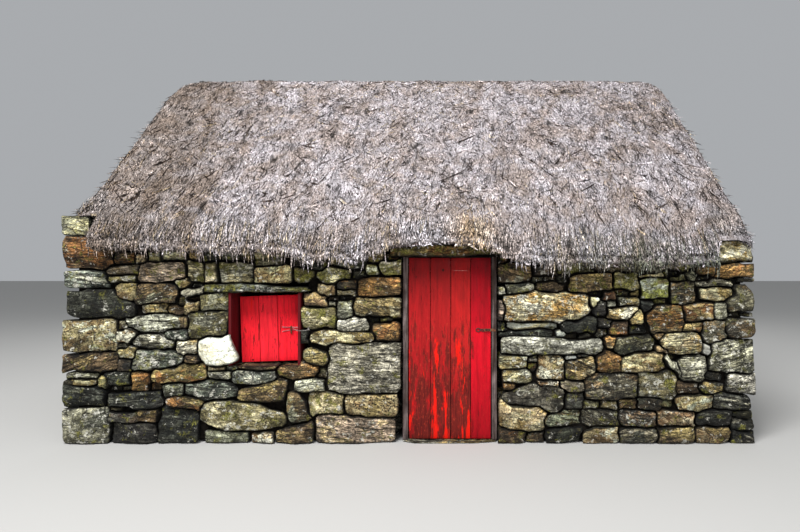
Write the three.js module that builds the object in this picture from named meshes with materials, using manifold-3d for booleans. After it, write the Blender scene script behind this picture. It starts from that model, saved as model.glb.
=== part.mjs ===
// A small thatched cottage: dry-stone walls, a plank door that opens inwards, and a shuttered window.
// Millimetres, +Z up, the front faces -Y, and the origin is on the ground under the middle.
import * as THREE from "three";
import { mergeVertices } from "three/addons/utils/BufferGeometryUtils.js";
import Module from "manifold-3d";

const wasm = await Module();
wasm.setup();

// Walls
const wallLength = 6620;
const wallDepth = 4600;
const wallThickness = 600;
const wallHeight = 1840;
const seam = 0.3; // gap left between two pieces that bear on each other
const endX = wallLength / 2;
const faceY = wallDepth / 2;
const innerX = endX - wallThickness;
const innerY = faceY - wallThickness;

// Doorway in the front wall
const doorway = { centre: 388, width: 916, height: 1790 };
doorway.left = doorway.centre - doorway.width / 2;
doorway.right = doorway.centre + doorway.width / 2;
const doorLintel = { left: -190, right: 966, height: 122, endHeight: 64, shoulder: 300 };
const threshold = { height: 20, front: 40, depth: 420 };

// Window in the front wall
const windowHole = { left: -1728, right: -1038, sill: 748, head: 1446 };
const windowLintel = { left: -1960, right: -930, height: 88 };

// Roof: the thatch's underside, and its top as distance from the ridge line and height over the walls
const undersideSlope = 0.88;
const ridgeUnderside = wallHeight + undersideSlope * faceY;
const slopeAngle = Math.atan(undersideSlope);
const thatchTop = [
  [0, 2300],
  [170, 2262],
  [340, 2145],
  [900, 1602],
  [1500, 1026],
  [2050, 482],
  [2250, 266],
  [2390, 102],
  [2462, -4],
  [2480, -56],
  [2400, -66],
];

// The eave rises and falls along the front: place along the wall and height against the profile
const eaveLine = [
  [-3300, 40],
  [-2500, 72],
  [-1700, 50],
  [-900, -120],
  [-350, 50],
  [60, 128],
  [660, 132],
  [1120, -20],
  [1900, -62],
  [2700, -62],
  [3300, 0],
];
const backWave = 24;
const eaveFade = { from: 1800, to: 2400 };
const doorBrow = { rise: 128, halfWidth: 900 }; // the underside is lifted over the door's lintel
const wallHeadBed = { out: 10, outerGap: 6, innerGap: 2 }; // how the thatch lies on the wall head
const verge = { ridgeLeft: 3130, ridgeRight: 3090, eaves: 3225 };
const vergeRound = { width: 150, drop: 95, ridgeWidth: 190, ridgeDrop: 115, ridgeReach: 520 };
const gableLean = 230; // how far the gable's outer face leans in over the height of its peak

// Stones on the front corners of the wall head, and the notches that the thatch has for them
const cornerStoneDepth = 340;
const notch = { room: 4, below: 200, beside: 100, before: 400 };
const cornerStones = [
  { name: "corner_stone_left", side: -1, width: 260, height: 340 },
  { name: "corner_stone_right", side: 1, width: 380, height: 108 },
];

// Roof timbers
const purlin = { radius: 48, out: 1300, bearing: 220 };
const ridgePoleRadius = 54;
const polePocket = { side: 1, end: 10, past: 10 }; // room beside a pole and at its end; past: over the faces
const gableBackInset = 10; // the back end of a gable's peak stands this far inside the back wall's face
const rafter = { x: -420, width: 90, depth: 120 };
const collar = { reach: 1040, bottom: 2740, height: 100, thickness: 50 };

// Door: its hinge axis stands behind the left post
const doorPost = { width: 48, front: 97, depth: 43, sideGap: 4 };
const leafGap = 8;
const doorBoards = [208, 196, 190, 196];
const boardGap = 2;
const boardThickness = 28;
const leaf = { bottom: 28, top: 1780 };
const doorLedge = { height: 130, thickness: 25, inset: 34, centres: [250, 920, 1580] };
const hinge = { x: -30, y: -2134, pinRadius: 7, pinHeight: 46, eyeRadius: 15, eyeBore: 8.2 };
const hingeStrap = { length: 430, thickness: 6, height: 36, levels: [268, 1598] };
const pintle = { arm: 16, neck: 8, root: 4 };

// Hasp on the right post, over a staple on the door
const hasp = { level: 1082, height: 26, thickness: 4, overlap: 34, past: 14 };
const haspSlot = { length: 44, height: 14, fromTip: 30 };
const staple = { rod: 7, width: 26, reach: 24, plate: 3, plateRim: 8 };

// Window frame and shutter, which hangs a little out of square
const windowPost = { width: 26, front: 30, depth: 290 };
const shutter = { depth: 232, boards: [184, 180, 222], height: 650, tilt: 2 };
const shutterLedge = { height: 90, thickness: 22, inset: 30, levels: [-215, 215] };
const shutterHasp = { level: -24, height: 22, length: 150, thickness: 5, past: 10 };
const shutterKnob = { from: 58, to: 74, reach: 26, bottom: -16, top: 10 };

const materials = {
  stone: new THREE.MeshStandardMaterial({ color: 0x8a7c63, roughness: 0.95 }),
  mossyStone: new THREE.MeshStandardMaterial({ color: 0x6d6a45, roughness: 0.95 }),
  thatch: new THREE.MeshStandardMaterial({ color: 0x9c8c84, roughness: 1 }),
  redPaint: new THREE.MeshStandardMaterial({ color: 0xb3141c, roughness: 0.55 }),
  greyWood: new THREE.MeshStandardMaterial({ color: 0x5d5149, roughness: 0.85 }),
  roofPole: new THREE.MeshStandardMaterial({ color: 0x5b4632, roughness: 0.9 }),
  iron: new THREE.MeshStandardMaterial({ color: 0x2e2a29, roughness: 0.6, metalness: 0.8 }),
};

const cottage = new THREE.Group();

// Solids for joining and cutting

function toSolid(geometry) {
  const flat = geometry.index ? geometry.toNonIndexed() : geometry.clone();
  flat.deleteAttribute("normal");
  flat.deleteAttribute("uv");
  const merged = mergeVertices(flat, 1e-3);
  return new wasm.Manifold(
    new wasm.Mesh({
      numProp: 3,
      vertProperties: merged.attributes.position.array,
      triVerts: new Uint32Array(merged.index.array),
    }),
  );
}

function toGeometry(solid) {
  const mesh = solid.getMesh();
  const geometry = new THREE.BufferGeometry();
  geometry.setAttribute("position", new THREE.BufferAttribute(mesh.vertProperties, 3));
  geometry.setIndex(new THREE.BufferAttribute(mesh.triVerts, 1));
  return geometry;
}

function cut(geometry, tools) {
  return toGeometry(tools.reduce((body, tool) => body.subtract(toSolid(tool)), toSolid(geometry)));
}

function join(geometries) {
  return toGeometry(geometries.map(toSolid).reduce((body, piece) => body.add(piece)));
}

// Shapes

function addMesh(name, geometry, material, position = [0, 0, 0], parent = cottage) {
  const mesh = new THREE.Mesh(geometry, material);
  mesh.name = name;
  mesh.position.set(...position);
  parent.add(mesh);
  return mesh;
}

function boxBetween(low, high) {
  const size = high.map((value, axis) => value - low[axis]);
  const centre = high.map((value, axis) => (value + low[axis]) / 2);
  return new THREE.BoxGeometry(...size).translate(...centre);
}

function extruded(outline, depth) {
  const shape = new THREE.Shape(outline.map(([across, up]) => new THREE.Vector2(across, up)));
  return new THREE.ExtrudeGeometry(shape, { depth, bevelEnabled: false });
}

// An outline of x and z, extruded backwards along y from its front face.
function slabAlongY(outline, front, depth) {
  return extruded(outline, depth)
    .rotateX(Math.PI / 2)
    .translate(0, front + depth, 0);
}

// An outline of y and z, extruded along x from its left face.
function slabAlongX(outline, left, depth) {
  const basis = new THREE.Matrix4().makeBasis(
    new THREE.Vector3(0, 1, 0),
    new THREE.Vector3(0, 0, 1),
    new THREE.Vector3(1, 0, 0),
  );
  return extruded(outline, depth).applyMatrix4(basis).translate(left, 0, 0);
}

function poleAlongX(radius, from, to, sides = 10) {
  return new THREE.CylinderGeometry(radius, radius, to - from, sides)
    .rotateZ(Math.PI / 2)
    .translate((from + to) / 2, 0, 0);
}

function uprightRing(outer, bore, height) {
  const profile = [
    [bore, 0],
    [outer, 0],
    [outer, height],
    [bore, height],
    [bore, 0],
  ].map(([r, z]) => new THREE.Vector2(r, z));
  return new THREE.LatheGeometry(profile, 24).rotateX(Math.PI / 2);
}

// Height of the thatch's underside at a distance from the ridge line.
function undersideAt(out) {
  return ridgeUnderside - undersideSlope * out;
}

// Walls

function buildFrontWall() {
  const doorShelf = doorway.height - seam;
  const windowShelf = windowHole.head - seam;
  const pieces = {
    front_wall_left: [
      [-endX, 0],
      [windowHole.left, 0],
      [windowHole.left, windowShelf],
      [windowLintel.left - seam, windowShelf],
      [windowLintel.left - seam, wallHeight],
      [-endX, wallHeight],
    ],
    front_wall_middle: [
      [windowHole.right, 0],
      [doorway.left, 0],
      [doorway.left, doorShelf],
      [doorLintel.left - seam, doorShelf],
      [doorLintel.left - seam, wallHeight],
      [windowLintel.right + seam, wallHeight],
      [windowLintel.right + seam, windowShelf],
      [windowHole.right, windowShelf],
    ],
    front_wall_right: [
      [doorway.right, 0],
      [endX, 0],
      [endX, wallHeight],
      [doorLintel.right + seam, wallHeight],
      [doorLintel.right + seam, doorShelf],
      [doorway.right, doorShelf],
    ],
    front_wall_under_window: [
      [windowHole.left + seam, 0],
      [windowHole.right - seam, 0],
      [windowHole.right - seam, windowHole.sill],
      [windowHole.left + seam, windowHole.sill],
    ],
    front_wall_over_window: [
      [windowLintel.left, windowHole.head + windowLintel.height + seam],
      [windowLintel.right, windowHole.head + windowLintel.height + seam],
      [windowLintel.right, wallHeight],
      [windowLintel.left, wallHeight],
    ],
  };
  for (const [name, outline] of Object.entries(pieces)) {
    addMesh(name, slabAlongY(outline, 0, wallThickness), materials.stone, [0, -faceY, 0]);
  }
}

function buildBackWall() {
  const body = new THREE.BoxGeometry(wallLength, wallThickness, wallHeight);
  addMesh("back_wall", body, materials.stone, [0, faceY - wallThickness / 2, wallHeight / 2]);
}

function buildGableWall(name, side) {
  const body = new THREE.BoxGeometry(wallThickness, 2 * (innerY - seam), wallHeight);
  addMesh(name, body, materials.stone, [side * (endX - wallThickness / 2), 0, wallHeight / 2]);
}

// The stone triangle above a gable wall: its outer face leans in, and it has pockets for the poles.
function buildGablePeak(name, side) {
  const frontReach = faceY - cornerStoneDepth - seam;
  const backReach = faceY - gableBackInset;
  const top = (out) => undersideAt(out) - seam;
  const outline = [
    [-frontReach, wallHeight + seam],
    [backReach, wallHeight + seam],
    [backReach, top(backReach)],
    [0, top(0)],
    [-frontReach, top(frontReach)],
  ];
  const peak = slabAlongX(outline, innerX, wallThickness);
  const place = peak.attributes.position;
  const rise = ridgeUnderside - wallHeight;
  for (let i = 0; i < place.count; i += 1) {
    const isOuter = place.getX(i) > innerX + 1;
    const lean = isOuter ? (gableLean * (place.getZ(i) - wallHeight)) / rise : 0;
    place.setX(i, side * (place.getX(i) - lean));
  }
  if (side < 0) reverseFaces(peak);
  const pockets = [ridgePocket(side), purlinPocket(side, -1), purlinPocket(side, 1)];
  addMesh(name, cut(peak, pockets), materials.stone);
}

function reverseFaces(geometry) {
  const place = geometry.attributes.position;
  const corner = new THREE.Vector3();
  const other = new THREE.Vector3();
  for (let i = 0; i < place.count; i += 3) {
    corner.fromBufferAttribute(place, i + 1);
    other.fromBufferAttribute(place, i + 2);
    place.setXYZ(i + 1, ...other);
    place.setXYZ(i + 2, ...corner);
  }
}

function ridgePocket(side) {
  const ends = [side * (innerX - polePocket.past), side * (innerX + purlin.bearing)].sort((a, b) => a - b);
  const halfWidth = ridgePoleRadius + polePocket.side;
  return boxBetween(
    [ends[0], -halfWidth, ridgePoleCentre() - ridgePoleRadius - seam],
    [ends[1], halfWidth, ridgeUnderside + polePocket.past],
  );
}

function purlinPocket(side, face) {
  const length = purlin.bearing + polePocket.past;
  const depth = 2 * purlin.radius + 3 * seam + polePocket.past;
  return new THREE.BoxGeometry(length, 2 * (purlin.radius + polePocket.side), depth)
    .translate(side * (innerX - polePocket.past + length / 2), 0, polePocket.past - depth / 2)
    .rotateX(-face * slopeAngle)
    .translate(0, face * purlin.out, undersideAt(purlin.out));
}

function buildCornerStones() {
  for (const stone of cornerStones) {
    const body = new THREE.BoxGeometry(stone.width, cornerStoneDepth, stone.height);
    addMesh(stone.name, body, materials.stone, [
      stone.side * (endX - stone.width / 2),
      cornerStoneDepth / 2 - faceY,
      wallHeight + seam + stone.height / 2,
    ]);
  }
}

function buildDressedStones() {
  const doorStone = slabAlongY(
    [
      [doorLintel.left, doorway.height],
      [doorLintel.right, doorway.height],
      [doorLintel.right, doorway.height + doorLintel.endHeight],
      [doorLintel.right - doorLintel.shoulder, doorway.height + doorLintel.height],
      [doorLintel.left + doorLintel.shoulder, doorway.height + doorLintel.height],
      [doorLintel.left, doorway.height + doorLintel.endHeight],
    ],
    0,
    wallThickness,
  );
  addMesh("door_lintel", doorStone, materials.mossyStone, [0, -faceY, 0]);
  const slab = new THREE.BoxGeometry(
    windowLintel.right - windowLintel.left,
    wallThickness,
    windowLintel.height,
  );
  addMesh("window_lintel", slab, materials.mossyStone, [
    (windowLintel.left + windowLintel.right) / 2,
    -innerY - wallThickness / 2,
    windowHole.head + windowLintel.height / 2,
  ]);
  const step = new THREE.BoxGeometry(doorway.width - 2 * seam, threshold.depth, threshold.height);
  addMesh("door_threshold", step, materials.stone, [
    doorway.centre,
    -faceY + threshold.front + threshold.depth / 2,
    threshold.height / 2,
  ]);
}

// Roof timbers

function rafterTop(out) {
  const offset = (2 * purlin.radius + 2 * seam) / Math.cos(slopeAngle);
  return undersideAt(out) - offset;
}

function ridgePoleCentre() {
  return rafterTop(0) + ridgePoleRadius + seam;
}

function buildPoles() {
  const reach = innerX + purlin.bearing - polePocket.end;
  const ridge = poleAlongX(ridgePoleRadius, -reach, reach);
  addMesh("ridge_pole", ridge, materials.roofPole, [0, 0, ridgePoleCentre()]);
  const inwards = purlin.radius + seam;
  for (const [name, face] of [
    ["purlin_front", -1],
    ["purlin_back", 1],
  ]) {
    const y = face * (purlin.out - inwards * Math.sin(slopeAngle));
    const z = undersideAt(purlin.out) - inwards * Math.cos(slopeAngle);
    addMesh(name, poleAlongX(purlin.radius, -reach, reach), materials.roofPole, [0, y, z]);
  }
}

function buildCouple() {
  const depth = rafter.depth / Math.cos(slopeAngle);
  const foot = wallHeight + seam;
  const footOuter = (rafterTop(0) - foot) / undersideSlope;
  const footInner = (rafterTop(0) - depth - foot) / undersideSlope;
  const halfSeam = seam / 2;
  for (const [name, face] of [
    ["rafter_front", -1],
    ["rafter_back", 1],
  ]) {
    const outline = [
      [face * halfSeam, rafterTop(halfSeam)],
      [face * footOuter, foot],
      [face * footInner, foot],
      [face * halfSeam, rafterTop(halfSeam) - depth],
    ];
    if (face > 0) outline.reverse();
    const body = slabAlongX(outline, -rafter.width / 2, rafter.width);
    addMesh(name, body, materials.roofPole, [rafter.x, 0, 0]);
  }
  const tie = new THREE.BoxGeometry(collar.thickness, 2 * collar.reach, collar.height);
  addMesh("rafter_collar", tie, materials.roofPole, [
    rafter.x + rafter.width / 2 + seam + collar.thickness / 2,
    0,
    collar.bottom + collar.height / 2,
  ]);
}

// Thatch

// Raised cosine: 1 in the middle, 0 at the half width and beyond.
function bump(distance, halfWidth) {
  const share = Math.min(1, Math.abs(distance) / halfWidth);
  return (1 + Math.cos(Math.PI * share)) / 2;
}

const eaveCurve = new THREE.CatmullRomCurve3(
  eaveLine.map(([x, rise]) => new THREE.Vector3(x, rise, 0)),
  false,
  "catmullrom",
  0.5,
);

// Height of the smooth eave line at a place along the wall, found by halving the curve's range.
function frontEaveRise(x) {
  let low = 0;
  let high = 1;
  for (let step = 0; step < 24; step += 1) {
    const middle = (low + high) / 2;
    if (eaveCurve.getPoint(middle).x < x) low = middle;
    else high = middle;
  }
  return eaveCurve.getPoint(low).y;
}

function eaveRise(x, isFront) {
  return isFront ? frontEaveRise(x) : backWave * (Math.sin(x / 610 + 0.9) + Math.sin(x / 273) / 2);
}

function thatchEnd(side, out) {
  const ridge = side < 0 ? verge.ridgeLeft : verge.ridgeRight;
  return ridge + ((verge.eaves - ridge) * out) / faceY;
}

// How far the top surface falls as it rounds over the end of the roof.
function vergeFall(distanceFromEnd, out) {
  const nearRidge = bump(out, vergeRound.ridgeReach);
  const width = vergeRound.width + vergeRound.ridgeWidth * nearRidge;
  const drop = vergeRound.drop + vergeRound.ridgeDrop * nearRidge;
  const share = Math.min(1, Math.max(0, 1 - distanceFromEnd / width));
  return drop * (1 - Math.sqrt(1 - share * share));
}

// One cross-section of a slope: along the top from the ridge to the eave, then back underneath.
function thatchRing(along, face) {
  const isFront = face < 0;
  const across = (out) => thatchEnd(1, out) * along - thatchEnd(-1, out) * (1 - along);
  const top = thatchTop.map(([out, height]) => {
    const x = across(out);
    const fromEnd = Math.min(thatchEnd(1, out) - x, thatchEnd(-1, out) + x);
    const fade = (out - eaveFade.from) / (eaveFade.to - eaveFade.from);
    const rise = Math.min(1, Math.max(0, fade)) * eaveRise(x, isFront);
    const z = wallHeight + height + rise - vergeFall(fromEnd, out);
    return new THREE.Vector3(x, face * Math.max(out, seam / 2), z);
  });
  const brow = isFront ? doorBrow.rise * bump(across(faceY) - doorway.centre, doorBrow.halfWidth) : 0;
  const { out: bedOut, outerGap, innerGap } = wallHeadBed;
  const seat = [
    [faceY + bedOut, wallHeight + brow + outerGap],
    [faceY - brow / undersideSlope - innerGap, wallHeight + brow + innerGap],
    [seam / 2, ridgeUnderside],
  ];
  const bottom = seat.map(([out, z]) => new THREE.Vector3(across(out), face * out, z + seam));
  return [...top, ...bottom];
}

function loft(rings, inwards) {
  const count = rings[0].length;
  const points = rings.flat();
  const triangles = [];
  const add = (a, b, c) => triangles.push(...(inwards ? [a, c, b] : [a, b, c]));
  for (let i = 0; i + 1 < rings.length; i += 1) {
    for (let j = 0; j < count; j += 1) {
      const next = (j + 1) % count;
      const a = i * count + j;
      const b = i * count + next;
      add(a, a + count, b);
      add(b, a + count, b + count);
    }
  }
  const outline = rings[0].map((p) => new THREE.Vector2(p.y, p.z));
  const last = (rings.length - 1) * count;
  for (const [a, b, c] of THREE.ShapeUtils.triangulateShape(outline, [])) {
    const clockwise =
      (outline[b].x - outline[a].x) * (outline[c].y - outline[a].y) <
      (outline[c].x - outline[a].x) * (outline[b].y - outline[a].y);
    const [p, q, r] = clockwise !== inwards ? [a, b, c] : [a, c, b];
    add(p, q, r);
    add(last + p, last + r, last + q);
  }
  const geometry = new THREE.BufferGeometry().setFromPoints(points);
  geometry.setIndex(triangles);
  return geometry;
}

function buildThatch(name, face) {
  const nearEnd = [0, 0.0018, 0.006, 0.014, 0.026, 0.045];
  const middle = Array.from({ length: 18 }, (_, i) => 0.08 + (0.84 * i) / 17);
  const stations = [...nearEnd, ...middle, ...nearEnd.map((t) => 1 - t).reverse()];
  const body = loft(
    stations.map((along) => thatchRing(along, face)),
    face < 0,
  );
  const notches = cornerStones.map((stone) => {
    const ends = [stone.side * (endX - stone.width - notch.room), stone.side * (endX + notch.beside)];
    ends.sort((a, b) => a - b);
    return boxBetween(
      [ends[0], -faceY - notch.before, wallHeight - notch.below],
      [ends[1], cornerStoneDepth + notch.room - faceY, wallHeight + stone.height + notch.room],
    );
  });
  addMesh(name, face < 0 ? cut(body, notches) : body, materials.thatch);
}

// Door

function buildDoorFrame() {
  const height = doorway.height - seam - threshold.height - seam;
  const post = new THREE.BoxGeometry(doorPost.width, doorPost.depth, height);
  const offset = doorway.width / 2 - doorPost.sideGap - doorPost.width / 2;
  for (const [name, side] of [
    ["door_post_left", -1],
    ["door_post_right", 1],
  ]) {
    addMesh(name, post.clone(), materials.greyWood, [
      doorway.centre + side * offset,
      -faceY + doorPost.front + doorPost.depth / 2,
      threshold.height + seam + height / 2,
    ]);
  }
  const postBack = -faceY + doorPost.front + doorPost.depth;
  hingeStrap.levels.forEach((level, index) => {
    const arm = boxBetween(
      [hinge.x - pintle.arm / 2, postBack + seam, level - pintle.arm],
      [hinge.x + pintle.arm / 2, hinge.y + pintle.neck, level],
    );
    const pinLength = hinge.pinHeight + 2 * pintle.root;
    const pin = new THREE.CylinderGeometry(hinge.pinRadius, hinge.pinRadius, pinLength, 16)
      .rotateX(Math.PI / 2)
      .translate(hinge.x, hinge.y, level + hinge.pinHeight / 2 - pintle.root);
    const name = ["door_pintle_lower", "door_pintle_upper"][index];
    addMesh(name, join([arm, pin]), materials.iron);
  });
}

function buildDoor() {
  const door = new THREE.Group();
  door.position.set(hinge.x, hinge.y, 0);
  cottage.add(door);
  const leafLeft = doorway.left + doorPost.sideGap + doorPost.width + leafGap - hinge.x;
  const leafWidth = doorway.width - 2 * (doorPost.sideGap + doorPost.width + leafGap);
  const ledgeBack = -hingeStrap.thickness / 2 - seam;
  const boardBack = ledgeBack - doorLedge.thickness - seam;
  const boardHeight = leaf.top - leaf.bottom;
  let left = leafLeft;
  doorBoards.forEach((width, index) => {
    const board = new THREE.BoxGeometry(width, boardThickness, boardHeight);
    const place = [left + width / 2, boardBack - boardThickness / 2, leaf.bottom + boardHeight / 2];
    addMesh(`door_board_${index + 1}`, board, materials.redPaint, place, door);
    left += width + boardGap;
  });
  const ledgeNames = ["door_ledge_bottom", "door_ledge_middle", "door_ledge_top"];
  doorLedge.centres.forEach((level, index) => {
    const length = leafWidth - 2 * doorLedge.inset;
    const ledge = new THREE.BoxGeometry(length, doorLedge.thickness, doorLedge.height);
    const place = [leafLeft + leafWidth / 2, ledgeBack - doorLedge.thickness / 2, level];
    addMesh(ledgeNames[index], ledge, materials.greyWood, place, door);
  });
  hingeStrap.levels.forEach((level, index) => {
    const eye = uprightRing(hinge.eyeRadius, hinge.eyeBore, hingeStrap.height);
    const half = hingeStrap.thickness / 2;
    const strap = boxBetween([hinge.eyeBore + 3, -half, 0], [hingeStrap.length, half, hingeStrap.height]);
    const name = ["door_hinge_lower", "door_hinge_upper"][index];
    addMesh(name, join([eye, strap]), materials.iron, [0, 0, level + seam], door);
  });
  buildStaple("door_staple", door, [
    leafLeft + leafWidth - hasp.overlap,
    boardBack - boardThickness - seam,
    hasp.level,
  ]);
}

// A bent rod that stands out of a board towards -Y; a hasp's slot fits over it.
function buildStaple(name, parent, place) {
  const { rod, width, reach, plate: thickness, plateRim: rim } = staple;
  const halfPlate = [width / 2 + rim, rod / 2 + rim];
  const plate = boxBetween([-halfPlate[0], -thickness, -halfPlate[1]], [halfPlate[0], 0, halfPlate[1]]);
  const loop = cut(boxBetween([-width / 2, -reach, -rod / 2], [width / 2, -1, rod / 2]), [
    boxBetween([-width / 2 + rod, -reach + rod, -rod], [width / 2 - rod, -thickness, rod]),
  ]);
  addMesh(name, join([plate, loop]), materials.iron, place, parent);
}

// A flat iron bar that is fixed to the right post and lies over the door's edge.
function buildDoorHasp() {
  const postCentre = doorway.right - doorPost.sideGap - doorPost.width / 2;
  const leafRight = doorway.right - doorPost.sideGap - doorPost.width - leafGap;
  const postFront = -faceY + doorPost.front;
  const slotCentre = leafRight - hasp.overlap;
  const tip = slotCentre - haspSlot.fromTip;
  const bar = boxBetween(
    [tip, -hasp.thickness, -hasp.height / 2],
    [postCentre + hasp.past, 0, hasp.height / 2],
  );
  const slot = boxBetween(
    [slotCentre - haspSlot.length / 2, -10, -haspSlot.height / 2],
    [slotCentre + haspSlot.length / 2, 10, haspSlot.height / 2],
  );
  const place = [0, postFront - seam, hasp.level];
  addMesh("door_hasp", cut(bar, [slot]), materials.iron, place);
}

// Window

function buildWindow() {
  const height = windowHole.head - windowHole.sill - 2 * seam;
  const post = new THREE.BoxGeometry(windowPost.width, windowPost.depth, height);
  for (const [name, x, side] of [
    ["window_post_left", windowHole.left, 1],
    ["window_post_right", windowHole.right, -1],
  ]) {
    addMesh(name, post.clone(), materials.redPaint, [
      x + side * (seam + windowPost.width / 2),
      -faceY + windowPost.front + windowPost.depth / 2,
      windowHole.sill + seam + height / 2,
    ]);
  }
  const width = shutter.boards.reduce((sum, board) => sum + board + boardGap, -boardGap);
  const tilt = THREE.MathUtils.degToRad(shutter.tilt);
  const leafDrop = (width * Math.sin(tilt) + shutter.height * Math.cos(tilt)) / 2;
  const group = new THREE.Group();
  group.position.set(
    (windowHole.left + windowHole.right) / 2,
    -faceY + shutter.depth,
    windowHole.sill + seam + leafDrop,
  );
  group.rotation.y = -tilt;
  cottage.add(group);
  let left = -width / 2;
  shutter.boards.forEach((boardWidth, index) => {
    const board = new THREE.BoxGeometry(boardWidth, boardThickness, shutter.height);
    const place = [left + boardWidth / 2, boardThickness / 2, 0];
    addMesh(`shutter_board_${index + 1}`, board, materials.redPaint, place, group);
    left += boardWidth + boardGap;
  });
  ["shutter_ledge_lower", "shutter_ledge_upper"].forEach((name, index) => {
    const length = width - 2 * shutterLedge.inset;
    const ledge = new THREE.BoxGeometry(length, shutterLedge.thickness, shutterLedge.height);
    const y = boardThickness + seam + shutterLedge.thickness / 2;
    addMesh(name, ledge, materials.greyWood, [0, y, shutterLedge.levels[index]], group);
  });
  const { thickness, length, height: barHeight } = shutterHasp;
  const plate = boxBetween([0, -thickness, -barHeight / 2], [length, 0, barHeight / 2]);
  const knob = boxBetween(
    [shutterKnob.from, -shutterKnob.reach, shutterKnob.bottom],
    [shutterKnob.to, -1, shutterKnob.top],
  );
  const place = [width / 2 + shutterHasp.past - length, -seam, shutterHasp.level];
  addMesh("shutter_hasp", join([plate, knob]), materials.iron, place, group);
}

buildFrontWall();
buildBackWall();
buildGableWall("left_gable_wall", -1);
buildGableWall("right_gable_wall", 1);
buildGablePeak("left_gable_peak", -1);
buildGablePeak("right_gable_peak", 1);
buildCornerStones();
buildDressedStones();
buildPoles();
buildCouple();
buildThatch("thatch_front", -1);
buildThatch("thatch_back", 1);
buildDoorFrame();
buildDoor();
buildDoorHasp();
buildWindow();

export default cottage;
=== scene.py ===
import math

import bpy
import numpy as np
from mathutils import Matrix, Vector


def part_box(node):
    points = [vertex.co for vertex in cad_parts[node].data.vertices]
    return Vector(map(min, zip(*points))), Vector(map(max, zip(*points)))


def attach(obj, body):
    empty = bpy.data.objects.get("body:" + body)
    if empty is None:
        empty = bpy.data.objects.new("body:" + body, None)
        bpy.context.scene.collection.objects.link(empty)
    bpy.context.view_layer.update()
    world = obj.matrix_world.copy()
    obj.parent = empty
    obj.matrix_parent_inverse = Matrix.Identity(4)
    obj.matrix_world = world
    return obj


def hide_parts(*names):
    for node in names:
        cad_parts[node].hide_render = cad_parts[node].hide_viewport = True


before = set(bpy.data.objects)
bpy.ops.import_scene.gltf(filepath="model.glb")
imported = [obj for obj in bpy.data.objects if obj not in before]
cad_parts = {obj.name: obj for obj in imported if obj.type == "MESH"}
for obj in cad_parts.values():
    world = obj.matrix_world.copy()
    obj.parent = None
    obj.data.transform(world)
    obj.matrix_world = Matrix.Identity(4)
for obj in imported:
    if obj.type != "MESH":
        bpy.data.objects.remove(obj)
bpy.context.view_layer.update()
print("frame loaded")

# The photograph's view: eye level, in front of the door
view = {"place": (0.39, -8.0, 1.70), "lens": 27, "sensor": 36, "shift": -0.0625}
cameraData = bpy.data.cameras.new("camera")
cameraData.lens = view["lens"]
cameraData.sensor_width = view["sensor"]
cameraData.shift_x = view["shift"]
camera = bpy.data.objects.new("camera", cameraData)
camera.location = view["place"]
camera.rotation_euler = (math.pi / 2, 0, 0)
bpy.context.scene.collection.objects.link(camera)
bpy.context.scene.camera = camera

# Main sizes of the building, in metres, as the frame has them. Openings and lintels: left, right, bottom,
# top.
house = {
    "endX": 3.31,
    "faceY": 2.3,
    "innerX": 2.71,
    "innerY": 1.7,
    "head": 1.84,
    "slope": 0.88,
    "doorway": (-0.07, 0.846, 0.0, 1.79),
    "window": (-1.728, -1.038, 0.748, 1.446),
    "doorLintel": (-0.19, 0.966, 1.79, 1.908),
    "windowLintel": (-1.96, -0.93, 1.446, 1.532),
    # how far the gables' peaks lean inwards, for each metre of height
    "peakLean": 0.23 / 2.024,
}
house["ridge"] = house["head"] + house["slope"] * house["faceY"]

# Chance and noise


def unit(vectors):
    # Each vector divided by its length.
    return vectors / np.maximum(np.linalg.norm(vectors, axis=-1, keepdims=True), 1e-9)


def chance(rng, count, share):
    # True for about that share of them, picked at random.
    return rng.uniform(0, 1, count) < share


noiseTable = np.random.default_rng(11)
lattice = np.tile(noiseTable.permutation(256), 3)
slopes = unit(noiseTable.normal(size=(256, 3)))


def noise(points, scale, seed=0.0):
    # Gradient noise: at each corner of the lattice cell round a point, a fixed slope times the way to the
    # point, blended with the curve 6t^5 - 15t^4 + 10t^3 along each axis. About -1 to 1.
    q = np.asarray(points, float) * scale + np.array([31.7, 17.3, 53.9]) * (seed + 1)
    cell = np.floor(q).astype(int)
    part = q - cell
    ease = part ** 3 * (part * (part * 6 - 15) + 10)
    cell &= 255
    total = np.zeros(q.shape[:-1])
    for corner in range(8):
        step = np.array([corner & 1, corner >> 1 & 1, corner >> 2 & 1])
        at = cell + step
        key = lattice[lattice[lattice[at[..., 0]] + at[..., 1] & 255] + at[..., 2] & 255]
        share = np.where(step == 1, ease, 1 - ease).prod(-1)
        total += share * (slopes[key] * (part - step)).sum(-1)
    return total * 1.7


def layeredNoise(points, scale, layers=3, seed=0.0):
    # Sum of noises, each twice as fine and half as strong as the one before.
    return sum(noise(points, scale * 2.0 ** k, seed + k) * 0.5 ** k for k in range(layers))


def flatNoise(x, y, scale, seed=0.0):
    return noise(np.stack([x, y, np.zeros_like(x)], -1), scale, seed)


# Meshes


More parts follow.
